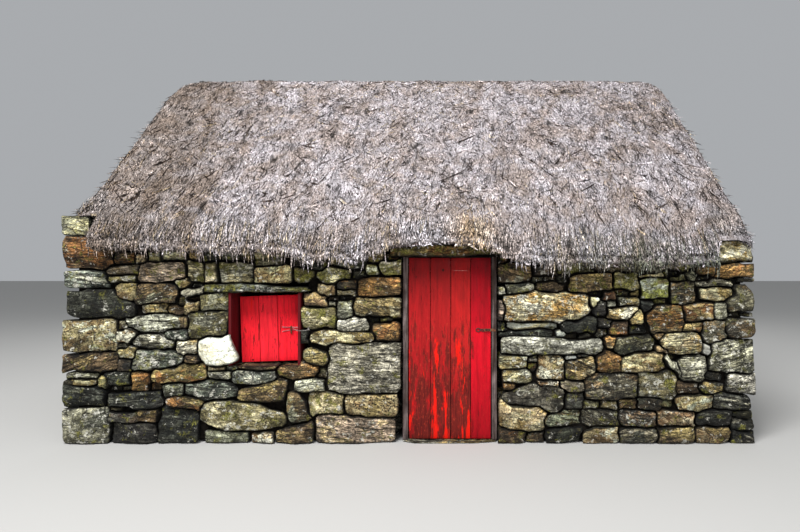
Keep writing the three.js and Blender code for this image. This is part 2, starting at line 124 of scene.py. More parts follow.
def toMesh(name, points, quads, triangles, colours=None, vectors=None):
    # Puts arrays of points, four-sided and three-sided faces, and values at points into a mesh.
    mesh = bpy.data.meshes.new(name)
    quads = np.asarray(quads, np.int32).reshape(-1, 4)
    triangles = np.asarray(triangles, np.int32).reshape(-1, 3)
    loops = np.concatenate([quads.ravel(), triangles.ravel()])
    sizes = np.concatenate([np.full(len(quads), 4), np.full(len(triangles), 3)])
    mesh.vertices.add(len(points))
    mesh.vertices.foreach_set("co", np.asarray(points, np.float32).ravel())
    mesh.loops.add(len(loops))
    mesh.loops.foreach_set("vertex_index", loops)
    mesh.polygons.add(len(sizes))
    mesh.polygons.foreach_set("loop_start", np.concatenate([[0], np.cumsum(sizes)[:-1]]).astype(np.int32))
    mesh.update(calc_edges=True)
    mesh.shade_smooth()
    for key, values in (colours or {}).items():
        layer = mesh.attributes.new(key, "FLOAT_COLOR", "POINT")
        layer.data.foreach_set("color", np.asarray(values, np.float32).ravel())
    for key, values in (vectors or {}).items():
        layer = mesh.attributes.new(key, "FLOAT_VECTOR", "POINT")
        layer.data.foreach_set("vector", np.asarray(values, np.float32).ravel())
    return mesh


def addPiece(mesh, material, body="cottage", nodes=()):
    # Shows a mesh as a piece that rides on a body, and stands in for the named solids where there are any.
    mesh.materials.append(material)
    piece = bpy.data.objects.new(mesh.name, mesh)
    bpy.context.scene.collection.objects.link(piece)
    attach(piece, body)
    if nodes:
        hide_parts(*nodes)
    return piece


def joined(parts):
    # Several sets of points, quads and triangles as one, the later faces counted on from the earlier points.
    counts = np.cumsum([0] + [len(part[0]) for part in parts])
    points = np.concatenate([part[0] for part in parts])
    quads = np.concatenate([np.asarray(part[1]).reshape(-1, 4) + n for part, n in zip(parts, counts)])
    triangles = np.concatenate([np.asarray(part[2]).reshape(-1, 3) + n for part, n in zip(parts, counts)])
    return points, quads, triangles


def shellFaces(around, rings):
    # Faces of a closed shell: a fan from the front point, bands between the rings, a fan to the back point.
    j = np.arange(around)
    nextJ = (j + 1) % around
    front = np.stack([np.zeros_like(j), 1 + j, 1 + nextJ], 1)
    start = 1 + np.arange(rings - 1)[:, None] * around
    bands = np.stack([start + j, start + around + j, start + around + nextJ, start + nextJ], -1)
    last = 1 + (rings - 1) * around
    back = np.stack([np.full_like(j, last + around), last + nextJ, last + j], 1)
    return bands.reshape(-1, 4), np.concatenate([front, back])


# Kinds of stone: two colours (linear), how layered, pitted, lichened and mossy it is, how often it comes
# where the photograph shows no stones, and the kinds whose colours it has patches of
tones = {
    "rust": {"base": (0.30, 0.135, 0.05), "second": (0.10, 0.055, 0.03),
        "marks": (0.7, 0.2, 0.15, 0.1), "share": 3, "with": ("tan", "brown", "ochre")},
    "brown": {"base": (0.26, 0.17, 0.095), "second": (0.085, 0.055, 0.035),
        "marks": (0.8, 0.4, 0.15, 0.15), "share": 10, "with": ("ochre", "grey", "rust")},
    "tan": {"base": (0.52, 0.39, 0.23), "second": (0.26, 0.16, 0.08),
        "marks": (0.35, 0.9, 0.2, 0.05), "share": 12, "with": ("cream", "ochre", "pale")},
    "ochre": {"base": (0.44, 0.31, 0.14), "second": (0.17, 0.12, 0.055),
        "marks": (0.9, 0.3, 0.15, 0.2), "share": 6, "with": ("cream", "rust", "pale")},
    "olive": {"base": (0.35, 0.285, 0.155), "second": (0.12, 0.098, 0.05),
        "marks": (0.7, 0.3, 0.3, 0.45), "share": 7, "with": ("cream", "ochre", "grey")},
    "mossy": {"base": (0.36, 0.29, 0.15), "second": (0.13, 0.11, 0.045),
        "marks": (0.5, 0.2, 0.35, 0.70), "share": 4, "with": ("cream", "ochre", "pale")},
    "cream": {"base": (0.66, 0.56, 0.36), "second": (0.40, 0.27, 0.11),
        "marks": (0.7, 0.4, 0.3, 0.15), "share": 9, "with": ("ochre", "pale", "tan")},
    "grey": {"base": (0.37, 0.335, 0.26), "second": (0.11, 0.098, 0.068),
        "marks": (0.9, 0.3, 0.35, 0.15), "share": 10, "with": ("pale", "ochre", "slate")},
    "slate": {"base": (0.085, 0.081, 0.067), "second": (0.028, 0.028, 0.026),
        "marks": (0.9, 0.05, 0.12, 0.15), "share": 8, "with": ("dark", "grey", "dark")},
    "dark": {"base": (0.030, 0.027, 0.025), "second": (0.10, 0.072, 0.05),
        "marks": (0.7, 0.1, 0.05, 0.1), "share": 6, "with": ("slate", "rust", "slate")},
    "taupe": {"base": (0.23, 0.195, 0.145), "second": (0.075, 0.062, 0.048),
        "marks": (0.8, 0.5, 0.3, 0.15), "share": 8, "with": ("slate", "brown", "grey")},
    "flint": {"base": (0.22, 0.22, 0.19), "second": (0.065, 0.066, 0.06),
        "marks": (0.9, 0.1, 0.45, 0.15), "share": 6, "with": ("pale", "slate", "grey")},
    "golden": {"base": (0.62, 0.52, 0.33), "second": (0.50, 0.29, 0.10),
        "marks": (0.5, 0.6, 0.5, 0.05), "share": 1, "with": ("pale", "pale", "pale")},
    "lime": {"base": (0.74, 0.74, 0.68), "second": (0.52, 0.52, 0.15),
        "marks": (0.5, 0.4, 0.2, 0.12), "share": 1, "with": ("lime", "white", "mossy")},
    "white": {"base": (0.92, 0.91, 0.88), "second": (0.72, 0.70, 0.64),
        "marks": (0.15, 0.1, 0.1, 0.15), "contrast": 0.42, "share": 2, "with": ("pale", "white", "cream")},
    "pink": {"base": (0.42, 0.31, 0.24), "second": (0.16, 0.12, 0.095),
        "marks": (0.9, 0.1, 0.2, 0.1), "share": 3, "with": ("brown", "grey", "tan")},
    "pale": {"base": (0.74, 0.68, 0.56), "second": (0.27, 0.245, 0.19),
        "marks": (0.9, 0.3, 0.3, 0.15), "share": 8, "with": ("grey", "pale", "cream")},
    "orange": {"base": (0.44, 0.235, 0.085), "second": (0.20, 0.125, 0.06),
        "marks": (0.6, 0.4, 0.1, 0.1), "share": 4, "with": ("rust", "cream", "tan")},
}

# The front wall's larger stones, in centimetres: left, right, bottom, top, then a shape and a turn in degrees
# where they matter
frontStones = {
    "rust": [
        (-333, -280, 167, 199, "nose"), (184, 198.5, 136.5, 145.5), (262, 289, 118, 134),
        (261, 280, 107, 115), (-231.5, -197, 33, 44, "block", -10),
    ],
    "brown": [
        (-282, -262, 172, 183), (-260, -222, 134.5, 152), (-331, -279, 69.5, 86),
        (-219, -210, 112, 120), (-259, -238, 21, 32), (-213, -201, 76, 85), (-165, -128, 70, 76),
        (-128, -92, 0, 21, "left"), (-100, -78, 131, 144), (84, 118, 155.5, 172),
        (122.5, 146.5, 143.5, 155.5, "round"), (191, 210, 102, 118), (235, 246, 86, 93),
        (227.5, 263, 106, 133, "round"), (227, 238, 163, 173), (153, 193, 145.5, 163),
        (-116, -95, 21, 49, "right"), (-163, -117, 41.5, 61, "left"),
    ],
    "tan": [
        (-260, -252, 173, 180), (-282, -261, 137, 155, "round"), (-280, -261, 97, 109),
        (-331, -280, 88.5, 119), (-193, -176, 70, 74.5), (-150, -130, 0, 10),
        (-146.5, -113, 151, 170.5), (-209, -198, 177, 184), (-214, -200, 124, 137.5),
        (-86, -69, 141, 152.5), (-61, -12, 26.5, 48.5), (122.5, 147, 61, 85.5), (123.5, 142, 54, 60.5),
        (202, 244, 68, 88.5, "left"), (233.5, 243, 101.5, 106.5),
    ],
    "ochre": [
        (-245, -195, 59, 76.5), (-52, -8, 120.5, 139), (148, 176.5, 62.5, 84, "left"),
        (-97, -32, 91.5, 108.5, "lens"), (-323, -297, 57, 62), (143, 152, 88.5, 99),
    ],
    "olive": [
        (-298, -288, 52, 64), (-182, -149, 154, 174.5), (-199, -173, 127, 144),
        (-210, -173, 101.5, 127.5), (-69, -51, 141, 147), (-198.5, -119, 12, 42, "lens"),
        (-212, -195, 154, 174.5), (219, 256, 43, 69.5), (250, 264, 156.5, 161), (210, 222, 113, 128),
        (-97, -62.5, 27, 48.5),
    ],
    "mossy": [
        (-248, -238, 175, 184), (-288, -262, 155, 161), (-195, -183, 154, 174.5),
        (-110, -92, 154, 168, "lens"), (-28, -2, 162, 175.5, "over"), (-42, -30, 162, 170),
        (195, 219, 147.5, 165), (-87, -55, 153.5, 169.5, "lens"), (-103, -70, 110, 130.5),
    ],
    "cream": [
        (-236, -215, 176, 186), (-222, -209, 150, 158, "block", 15), (-255, -232, 124.5, 133.5),
        (-278, -261, 82.5, 92), (87, 113, 72, 86), (90, 116, 59.5, 71.5), (86, 130, 13, 42),
        (240.5, 279, 87, 108, "round"), (189, 217, 119, 131), (278, 313, 136, 149.5, "lens"),
        (219, 245, 159, 162), (-222, -203, 85.5, 99.5), (-100, -75, 76, 91, "right"),
    ],
    "grey": [
        (-265, -226, 91.5, 104, "lens"), (-279, -270, 92, 96), (-327, -298, 62.5, 69),
        (-237, -217, 45, 57), (-331, -286, 0, 34), (-195, -155, 0, 12), (84, 92, 143.5, 150),
        (92, 118, 143.5, 153), (199, 218, 132, 141), (287, 331, 68, 99),
        (266, 275, 155.5, 166.5, "block", -45),
    ],
    "slate": [
        (-329, -263, 120, 147, "right"), (-290, -266, 56, 68), (-331, -290, 36, 55),
        (-290, -236, 34.5, 50), (-284, -240, 0, 21), (-240, -202, 0, 35), (86, 136, 102, 108.5),
        (222, 234, 127.5, 136), (177, 189, 123, 137), (144, 180, 105.5, 120),
    ],
    "dark": [
        (-278, -266, 70, 81), (-288, -260, 20, 31), (-69, -50, 147, 157), (118, 142, 160, 170),
        (160, 172, 82, 87), (150, 166, 35, 48), (181, 195, 111, 119.5), (-104, -97, 97, 109),
    ],
    "white": [
        (-202, -165, 75, 104.5, "wedge", 5), (92, 143, 109.5, 116.5), (141, 150, 104, 110),
        (150, 160, 81.5, 85.5), (171.5, 181, 131, 141.5), (281, 290, 86, 95),
    ],
    "lime": [
        (220, 248, 139, 158),
    ],
    "golden": [
        (90, 173, 115.5, 145, "round"),
    ],
    "taupe": [
        (280, 302, 97, 116.5, "round"), (302, 331, 102, 120, "round"), (249, 271.5, 134.5, 154.5),
        (196.5, 234, 86, 104), (90, 149, 31, 57, "peak"), (168, 219, 41, 66.5),
        (303, 327, 125, 154, "peak"),
    ],
    "flint": [
        (-213, -165, 41.5, 60.5, "lens"), (-169, -128, 58.5, 70), (-333, -288, 150, 165),
        (-263, -218, 70.5, 88), (-232, -211, 100, 109),
    ],
    "pink": [
        (-258, -214, 156, 172.5), (83.5, 92.5, 119, 136, "lens"), (144, 166, 51, 61, "right"),
        (-291, -260, 162, 171), (-90, -14, 0, 27),
    ],
    "pale": [
        (-272, -220, 108, 123.5, "lens"), (-216, -193, 140.5, 149, "block", 20), (-192, -172, 62.5, 69),
        (-109, -81, 51, 62), (-68.5, -54, 121, 137.5), (239, 265, 71.5, 79, "block", -50),
        (255, 285.5, 58.5, 85, "round"), (276, 310, 151, 157), (293, 305, 119, 134.5),
        (305, 331, 48, 68), (89, 186, 84.5, 101), (-78, -8, 48, 98.5),
        (-69.5, -40, 107.5, 120.5, "left"), (-77, -70, 132.5, 137.5),
    ],
    "orange": [
        (-51, -8, 141, 158), (-266, -248, 51, 68), (-127, -86.5, 60.5, 79, "lens"), (-33, -10, 98, 116),
        (179, 201, 69.5, 89, "peak"), (186, 198, 90, 103, "dip"), (272, 293, 161, 170),
        (293, 331, 159, 173.5), (91, 100, 53, 58.5),
    ],
}

# How much of each corner is cut off, as shares of the half width and half height: top right, top left, bottom
# left, bottom right
cornerCuts = {
    "block": 4 * ((0.14, 0.26),),
    "over": ((0.2, 0.3), (0.2, 0.3), (0.3, 0.5), (0.3, 0.5)),
    "round": 4 * ((0.42, 0.62),),
    "lens": 4 * ((0.75, 0.7),),
    "left": ((0.15, 0.2), (1.5, 0.85), (0.2, 0.3), (0.2, 0.3)),
    "right": ((1.5, 0.85), (0.15, 0.2), (0.2, 0.3), (0.2, 0.3)),
    "peak": ((0.8, 1.0), (0.8, 1.0), (0.15, 0.3), (0.15, 0.3)),
    "nose": ((0.9, 0.7), (0.3, 0.55), (0.3, 0.5), (0.3, 0.4)),
    "wedge": ((0.3, 1.7), (0.5, 0.5), (0.5, 0.8), (0.3, 0.4)),
    "dip": ((0.15, 0.3), (0.15, 0.3), (0.8, 1.2), (0.8, 1.2)),
}
shapeNames = list(cornerCuts)
cutTable = np.array([cornerCuts[name] for name in shapeNames])
toneNames = list(tones)
toneTable = np.array([
    (*tone["base"], *tone["second"], *tone["marks"], tone.get("contrast", 1)) for tone in tones.values()
])
companions = np.array([[toneNames.index(name) for name in tone["with"]] for tone in tones.values()])
toneShares = np.array([tone["share"] for tone in tones.values()], float)

# How stones vary, in metres, radians and shares
stoneForm = {
    "sideLean": 0.05,
    "cornerRange": (0.35, 1.5),
    # the waves of the joints: how fine and how high
    "wideWave": (4.5, 0.011),
    "narrowWave": (17, 0.006),
    # planes that fall away from the front: how steep, where they begin as a share of the half width, how deep
    "planeSlope": (0.06, 0.62),
    "planeStart": (0.15, 0.85),
    "planeDepth": 0.055,
    "lumps": (8.0, 0.010),
    "layerLines": (30.0, 0.008),
    "beddingTurn": 0.14,
    "brightness": (0.62, 1.04),
    "tint": (0.99, 1.05, 0.95),
    "tintSpread": 0.022,
    # how much paler each stone is towards its top: painted light from above
    "paintedTopLight": 0.36,
    # sizes of stones that are laid by rule: spread of the lengths, and height for each metre of length
    "lengthSpread": 0.45,
    "flatness": (0.28, 0.75),
    "shapes": {"block": 0.52, "round": 0.2, "lens": 0.08, "left": 0.1, "right": 0.1},
}


def straightEdges(stones, half, rng):
    # Each stone's outline as eight straight edges, four sides that lean a little and four cut corners:
    # outward directions and distances from its middle.
    count = len(half)
    turn = np.radians(stones["turn"])[:, None]
    lean = np.arange(4) * np.pi / 2 + turn + rng.normal(0, stoneForm["sideLean"], (count, 4))
    vary = rng.uniform(*stoneForm["cornerRange"], (count, 4, 2))
    cut = cutTable[stones["shape"]] * np.where(stones["laps"][:, None, None], 1, vary)
    cut = np.clip(cut, 0.03, 1.75) * half[:, None]
    normal = np.array([[1, 1], [-1, 1], [-1, -1], [1, -1]]) / cut
    length = np.linalg.norm(normal, axis=-1)
    reach = ((half[:, None] - cut * (1, 0)) / cut).sum(-1) / length
    reach = np.maximum(reach, 0.25 * half.min(1)[:, None])
    normal /= length[..., None]
    corners = np.stack([
        normal[..., 0] * np.cos(turn) - normal[..., 1] * np.sin(turn),
        normal[..., 0] * np.sin(turn) + normal[..., 1] * np.cos(turn),
    ], -1)
    sides = np.stack([np.cos(lean), np.sin(lean)], -1)
    return np.concatenate([sides, corners], 1), np.concatenate([half[:, [0, 1, 0, 1]], reach], 1)


def beyondEdges(points, middle, normals, distances):
    # How far points lie beyond a convex outline: the greatest distance past any of its edges.
    way = np.einsum("nksc,npc->nksp", points - middle[:, None, None], normals)
    return (way - distances[:, None, None]).max(-1)


def nearestStones(rects, most=10):
    # By the wider of the gaps across and up between two stones
    gap = np.maximum(
        np.maximum(rects[None, :, 0] - rects[:, None, 1], rects[:, None, 0] - rects[None, :, 1]),
        np.maximum(rects[None, :, 2] - rects[:, None, 3], rects[:, None, 2] - rects[None, :, 3]),
    )
    np.fill_diagonal(gap, 9)
    return np.argsort(gap, axis=1)[:, :min(most, len(rects) - 1)].T


def stoneOutlines(stones, face, around, rng, steps=20):
    # Rays leave each stone's core square to its sides and fan out at its corners. A ray ends where another
    # stone's outline becomes nearer than its own, at the wall's edges and openings, or when it has grown
    # enough. So neighbours share one wavy line, less the joint.
    rects = stones["rects"]
    middle = (rects[:, [0, 2]] + rects[:, [1, 3]]) / 2
    half = (rects[:, [1, 3]] - rects[:, [0, 2]]) / 2
    normals, distances = straightEdges(stones, half, rng)
    a, b = half[:, :1] ** 0.6, half[:, 1:] ** 0.6
    walk = (np.arange(around) + 0.5) / around * 4 * (a + b)
    x = (-a + np.clip(walk, 0, 2 * a) - np.clip(walk - 2 * a - 2 * b, 0, 2 * a)) / a
    y = (-b + np.clip(walk - 2 * a, 0, 2 * b) - np.clip(walk - 4 * a - 2 * b, 0, 2 * b)) / b
    rim = np.stack([x, y], -1) * half[:, None]
    least = half.min(1)[:, None, None]
    hold = half[:, None] - 0.9 * least
    core = np.clip(rim, -hold, hold)
    turn = np.radians(stones["turn"])
    spin = np.stack([np.cos(turn), -np.sin(turn), np.sin(turn), np.cos(turn)], -1).reshape(-1, 2, 2)
    core = np.einsum("nij,nkj->nki", spin, core)
    ray = np.einsum("nij,nkj->nki", spin, rim) - core
    length = np.linalg.norm(ray, axis=-1, keepdims=True)
    ray /= length
    start = 0.2 * least
    reach = start + (length + stones["grow"] - start) * np.linspace(0, 1, steps)
    spots = middle[:, None, None] + core[:, :, None] + ray[:, :, None] * reach[..., None]
    u, v = spots[..., 0], spots[..., 1]
    (wide, wideHeight), (narrow, narrowHeight) = stoneForm["wideWave"], stoneForm["narrowWave"]
    waves = [wideHeight * flatNoise(u, v, wide, seed) + narrowHeight * flatNoise(u, v, narrow, seed + 1)
             for seed in (face["seed"], face["seed"] + 2)]
    bent = spots + np.stack(waves, -1)
    own = beyondEdges(bent, middle, normals, distances)
    other = np.full(own.shape, 9.0)
    for near in nearestStones(rects):
        other = np.minimum(other, beyondEdges(bent, middle[near], normals[near], distances[near]))
    low, high = face["span"]
    top = np.maximum(face["top"](u), stones["limit"][:, None, None])
    limits = [u - low, high - u, v - face["bottom"], top - v]
    for left, right, bottom, upper in stones["fixed"]:
        clear = np.maximum(np.maximum(left - u, u - right), np.maximum(bottom - v, v - upper))
        limits.append(np.where(stones["laps"][:, None, None], 9, clear))
    room = np.minimum(np.minimum(other - own, stones["grow"] - own), 2 * np.min(limits, axis=0))
    inside = room > 0
    step = np.where(inside.all(-1), steps - 1, np.argmin(inside, -1))[..., None]
    before = np.maximum(step - 1, 0)
    roomBefore, roomAfter = (np.take_along_axis(room, k, -1) for k in (before, step))
    share = np.clip(roomBefore / np.maximum(roomBefore - roomAfter, 1e-6), 0, 1)
    reachBefore, reachAfter = (np.take_along_axis(reach, k, -1) for k in (before, step))
    ends = reachBefore * (1 - share) + reachAfter * share
    ends = np.maximum(ends - stones["joint"] / 2, 0.6 * start)
    return core + ray * ends, ray, middle, half


def atEdge(away):
    # 1 up to 25 mm away, 0 from 45 mm on
    return np.clip((0.045 - away) / 0.02, 0, 1)


def bareSides(face, across, up):
    # How far the sides of stones are open to the light: at a wall's bare end, and beside an opening
    low, high = face["span"]
    atEnd = atEdge(np.minimum(across - low, high - across)) * face["bareEnds"]
    beside = 0 * across
    for left, right, bottom, top in face["openings"]:
        away = np.maximum(np.maximum(left - across, across - right), np.maximum(bottom - up, up - top))
        beside = np.maximum(beside, atEdge(away))
    return atEnd, beside


def stoneShells(stones, face, detail, rng):
    # Rings of each outline: shares of the front, then a round edge that falls away as a quarter circle, then
    # the sides. The front falls away past four lines at different angles. Noise then roughens it.
    outline, ray, middle, half = stoneOutlines(stones, face, detail["around"], rng)
    count, around = outline.shape[:2]
    least = half.min(1)
    edge = np.minimum(stones["edge"], 0.45 * least)[:, None, None, None]
    outline, ray = outline[:, None], ray[:, None]
    inner = outline - ray * edge
    shares = np.array(detail["face"])[:, None, None]
    rims = np.array(detail["rim"])[:, None, None]
    backs = np.array(detail["side"])[:, None, None]
    flat = np.concatenate([inner * shares, outline - ray * edge * rims, outline * (1 - 0.1 * backs)], 1)
    angle = rng.uniform(0, 2 * np.pi, (count, 1)) + np.arange(4) * 1.6 + rng.normal(0, 0.4, (count, 4))
    towards = np.stack([np.cos(angle), np.sin(angle)], -1)
    steep = np.tan(rng.uniform(*stoneForm["planeSlope"], (count, 4)))
    where = rng.uniform(*stoneForm["planeStart"], (count, 4)) * (np.abs(towards) * half[:, None]).sum(-1)
    fall = np.einsum("nrkc,npc->nrkp", flat, towards) - where[:, None, None]
    fall = (np.maximum(fall, 0) * steep[:, None, None]).max(-1)
    fall = np.minimum(fall, stoneForm["planeDepth"])
    drop = np.concatenate([0 * shares, 1 - np.sqrt(1 - (1 - rims) ** 2), 1 + 0 * backs])[..., 0]
    out = -fall - edge[..., 0] * drop
    depth = stones["depth"][:, None, None]
    side = len(shares) + len(rims)
    out[:, side:] = out[:, side:] * (1 - backs[..., 0]) - depth * backs[..., 0]
    grid = np.concatenate([flat, out[..., None]], -1).reshape(count, -1, 3)
    ends = np.zeros((count, 2, 3))
    ends[:, 1, 2] = -stones["depth"]
    points = np.concatenate([ends[:, :1], grid, ends[:, 1:]], 1)
    # the way that noise moves each point: out at the front, sideways at the sides, between them at the edge
    sideways = np.concatenate([0 * shares, 1 - rims, 1 + 0 * backs])
    facing = np.concatenate([
        np.broadcast_to(ray * sideways, flat.shape),
        np.broadcast_to(1 - sideways, (count, len(sideways), around, 1)),
    ], -1).reshape(count, -1, 3)
    facing = np.concatenate([np.tile([[[0, 0, 1.0]]], (count, 1, 1)), facing, 0 * ends[:, 1:]], 1)
    # bedding: each stone's own place for its pattern, turned a little and far from the others'
    bedding = np.radians(stones["turn"]) + rng.normal(0, stoneForm["beddingTurn"], count)
    bed = np.zeros((count, 3, 3))
    bed[:, 0, 0] = bed[:, 1, 1] = np.cos(bedding)
    bed[:, 0, 1] = np.sin(bedding)
    bed[:, 1, 0] = -np.sin(bedding)
    bed[:, 2, 2] = 1
    place = np.einsum("nij,nvj->nvi", bed, points) + rng.uniform(-40, 40, (count, 1, 3))
    flatPoints = points.copy()
    size = np.minimum(1, least / 0.08)[:, None]
    layers = toneTable[stones["tone"], 6][:, None]
    (lumpScale, lumps), (lineScale, lines) = stoneForm["lumps"], stoneForm["layerLines"]
    lift = layeredNoise(place, lumpScale, 3, 1) * lumps * size
    lift += noise(place * np.array([0.2, 1.0, 0.3]), lineScale, 8) * lines * layers * size
    points = points + facing * lift[..., None]
    points[..., 2] += stones["proud"][:, None]
    across, up = points[..., 0] + middle[:, :1], points[..., 1] + middle[:, 1:]
    forward = points[..., 2] - face["lean"] * np.maximum(up - house["head"], 0)
    world = (
        np.array(face["origin"])
        + across[..., None] * np.array(face["right"])
        + up[..., None] * np.array([0, 0, 1.0])
        + forward[..., None] * np.array(face["out"])
    )
    world[..., 2] = np.maximum(world[..., 2], 0.001)
    each = world.shape[1]
    bands, fans = shellFaces(around, len(shares) + len(rims) + len(backs))
    step = (np.arange(count) * each)[:, None, None]
    looks = toneTable[stones["tone"]]
    shade = rng.uniform(*stoneForm["brightness"], (count, 1)) * np.ones((count, 3))
    shade += rng.normal(0, stoneForm["tintSpread"], (count, 3))
    shade *= stones["shade"][:, None] * np.array(stoneForm["tint"])
    # each is paler towards its top, painted light from above, and has patches of a second and a third colour
    light = 1 + stoneForm["paintedTopLight"] * np.clip(flatPoints[..., 1] / half[:, 1:], -1, 1)[..., None]
    third = toneTable[companions[stones["tone"], rng.integers(0, 3, count)], :3]
    contrast = np.broadcast_to(looks[:, None, 10:], (*light.shape[:2], 1))
    tints = [np.concatenate([(tint * shade)[:, None] * light, contrast], -1).reshape(-1, 4)
             for tint in (looks[:, :3], looks[:, 3:6], third)]
    # dirt and painted shade: most at the sides and round the edge, less where the sides are seen
    opened = np.concatenate([1 + 0 * shares, 0.06 + 0.8 * rims, 0.04 + 0 * backs])[:, 0, 0]
    opened = np.concatenate([[1], np.repeat(opened, around), [0]])
    atEnd, beside = bareSides(face, across, up)
    opened = np.maximum(np.maximum(opened, 0.8 * atEnd), 0.45 * beside * (opened < 0.05))
    marks = looks[:, 6:10] * rng.uniform(0.4, 1.5, (count, 4))
    marks[:, 3] = np.minimum(marks[:, 3] + stones["damp"], 1.2)
    return {
        "points": world.reshape(-1, 3),
        "quads": (bands[None] + step).reshape(-1, 4),
        "triangles": (fans[None] + step).reshape(-1, 3),
        "colours": {
            "tone": tints[0],
            "second": tints[1],
            "third": tints[2],
            "marks": np.repeat(marks, each, 0),
        },
        "vectors": {"place": place.reshape(-1, 3), "open": np.repeat(opened.reshape(-1, 1), 3, 1)},
    }


def addStones(name, shells, material, nodes=()):
    points, quads, triangles = joined([(s["points"], s["quads"], s["triangles"]) for s in shells])
    colours, vectors = (
        {key: np.concatenate([s[kind][key] for s in shells]) for key in shells[0][kind]}
        for kind in ("colours", "vectors")
    )
    mesh = toMesh(name, points, quads, triangles, colours, vectors)
    print(f"{name}: {len(quads) * 2 + len(triangles)} triangles")
    return addPiece(mesh, material, "cottage", nodes)


# The side of a cell of the grid on which stones are laid
cellSize = 0.02


def blockedCells(face, rects):
    # A grid of the face's cells; those under a rectangle or over the top line are taken.
    low, high = face["span"]
    columns = int(round((high - low) / cellSize))
    u = low + (np.arange(columns) + 0.5) * cellSize
    top = face["top"](u)
    rows = int(math.ceil((top.max() - face["bottom"]) / cellSize))
    v = face["bottom"] + (np.arange(rows) + 0.5) * cellSize
    taken = v[:, None] > top[None]
    for left, right, bottom, upper in rects:
        taken |= ((u > left) & (u < right))[None] & ((v > bottom) & (v < upper))[:, None]
    return taken


def cellRect(face, row, column, tall, wide):
    left, bottom = face["span"][0] + column * cellSize, face["bottom"] + row * cellSize
    return left, left + wide * cellSize, bottom, bottom + tall * cellSize


def packStones(face, rects, rng, sizes):
    # Fills a face with stones from the ground up: each goes to the lowest free place, with a random length
    # and height that stop at what is already laid.
    taken = blockedCells(face, rects)
    found = []
    fewest = max(1, int(sizes["least"] / cellSize))
    while not taken.all():
        row = int(np.argmin(taken.all(1)))
        column = int(np.argmin(taken[row]))
        free = taken[row, column:]
        run = int(np.argmax(free)) if free.any() else len(free)
        length = rng.lognormal(math.log(sizes["length"]), stoneForm["lengthSpread"])
        wide = np.clip(length, sizes["least"], sizes["most"])
        wide = max(1, min(int(wide / cellSize), run))
        if run - wide < fewest:
            wide = run if run < sizes["most"] / cellSize else run // 2
        tall = wide * rng.uniform(*stoneForm["flatness"])
        tall = max(int(np.clip(tall, sizes["thin"] / cellSize, sizes["tall"] / cellSize)), 1)
        above = taken[row:, column:column + wide].any(1)
        room = int(np.argmax(above)) if above.any() else len(above)
        if room - tall < 3:
            tall = min(room, int(sizes["tall"] / cellSize) + 3)
        taken[row:row + tall, column:column + wide] = True
        if wide > 2 and tall > 2:
            found.append(cellRect(face, row, column, tall, wide))
    return np.array(found)


def fillGaps(face, rects, sizes):
    # Looks for free windows of the grid from large to small, by sums over the grid, and lays a stone in each.
    taken = blockedCells(face, [(a + 0.008, b - 0.008, c + 0.008, d - 0.008) for a, b, c, d in rects])
    found = []
    for wide, tall in sizes:
        w, t = int(round(wide / cellSize)), int(round(tall / cellSize))
        while True:
            sums = np.zeros((taken.shape[0] + 1, taken.shape[1] + 1), int)
            sums[1:, 1:] = taken.cumsum(0).cumsum(1)
            clear = (sums[t:, w:] - sums[:-t, w:] - sums[t:, :-w] + sums[:-t, :-w]) == 0
            spots = np.argwhere(clear)
            if len(spots) == 0:
                break
            row, column = spots[0]
            taken[row:row + t, column:column + w] = True
            found.append(cellRect(face, row, column, t, w))
    return np.array(found)


def stoneSet(rects, rng, **given):
    # One dictionary of arrays for a set of stones, with random looks where none are given.
    rects = np.asarray(rects, float)
    count = len(rects)
    kinds = [shapeNames.index(name) for name in stoneForm["shapes"]]
    stones = {
        "rects": rects,
        "shape": rng.choice(kinds, count, p=list(stoneForm["shapes"].values())),
        "turn": rng.normal(0, 3, count),
        "tone": rng.choice(len(toneNames), count, p=toneShares / toneShares.sum()),
        "depth": rng.uniform(0.13, 0.19, count),
        "proud": rng.uniform(-0.025, 0.012, count),
        "edge": rng.uniform(0.007, 0.020, count),
        "damp": np.zeros(count),
        "shade": np.ones(count),
        "limit": np.zeros(count),
        "laps": np.zeros(count, bool),
        "grow": 0.022,
        "joint": 0.015,
        "fixed": np.zeros((0, 4)),
    }
    stones.update(given)
    return stones


# Materials from nodes


def newGroup(name, inputs, outputs):
    group = bpy.data.node_groups.new(name, "ShaderNodeTree")
    for title, kind, value in inputs:
        socket = group.interface.new_socket(title, in_out="INPUT", socket_type=kind)
        if value is not None:
            socket.default_value = value
    for title, kind in outputs:
        group.interface.new_socket(title, in_out="OUTPUT", socket_type=kind)
    return group, group.nodes.new("NodeGroupInput"), group.nodes.new("NodeGroupOutput")


def node(tree, kind, inputs=None, **settings):
    # Adds a node, sets its options, and feeds its inputs with links or values.
    made = tree.nodes.new(kind)
    for key, value in settings.items():
        setattr(made, key, value)
    for key, value in (inputs or {}).items():
        if isinstance(value, bpy.types.NodeSocket):
            tree.links.new(value, made.inputs[key])
        else:
            made.inputs[key].default_value = value
    return made


def mathNode(tree, operation, *values, clamp=False):
    inputs = dict(enumerate(values))
    return node(tree, "ShaderNodeMath", inputs, operation=operation, use_clamp=clamp).outputs[0]


def product(tree, a, b, **options):
    return mathNode(tree, "MULTIPLY", a, b, **options)


def vectorNode(tree, operation, *values):
    return node(tree, "ShaderNodeVectorMath", dict(enumerate(values)), operation=operation).outputs


def scaled(tree, vector, factors):
    return vectorNode(tree, "MULTIPLY", vector, factors)[0]


def noiseValue(tree, vector, scale, detail=3.0, rough=0.55, bend=0.0):
    made = node(tree, "ShaderNodeTexNoise", {
        "Vector": vector, "Scale": scale, "Detail": detail, "Roughness": rough, "Distortion": bend,
    })
    return made.outputs["Fac"]


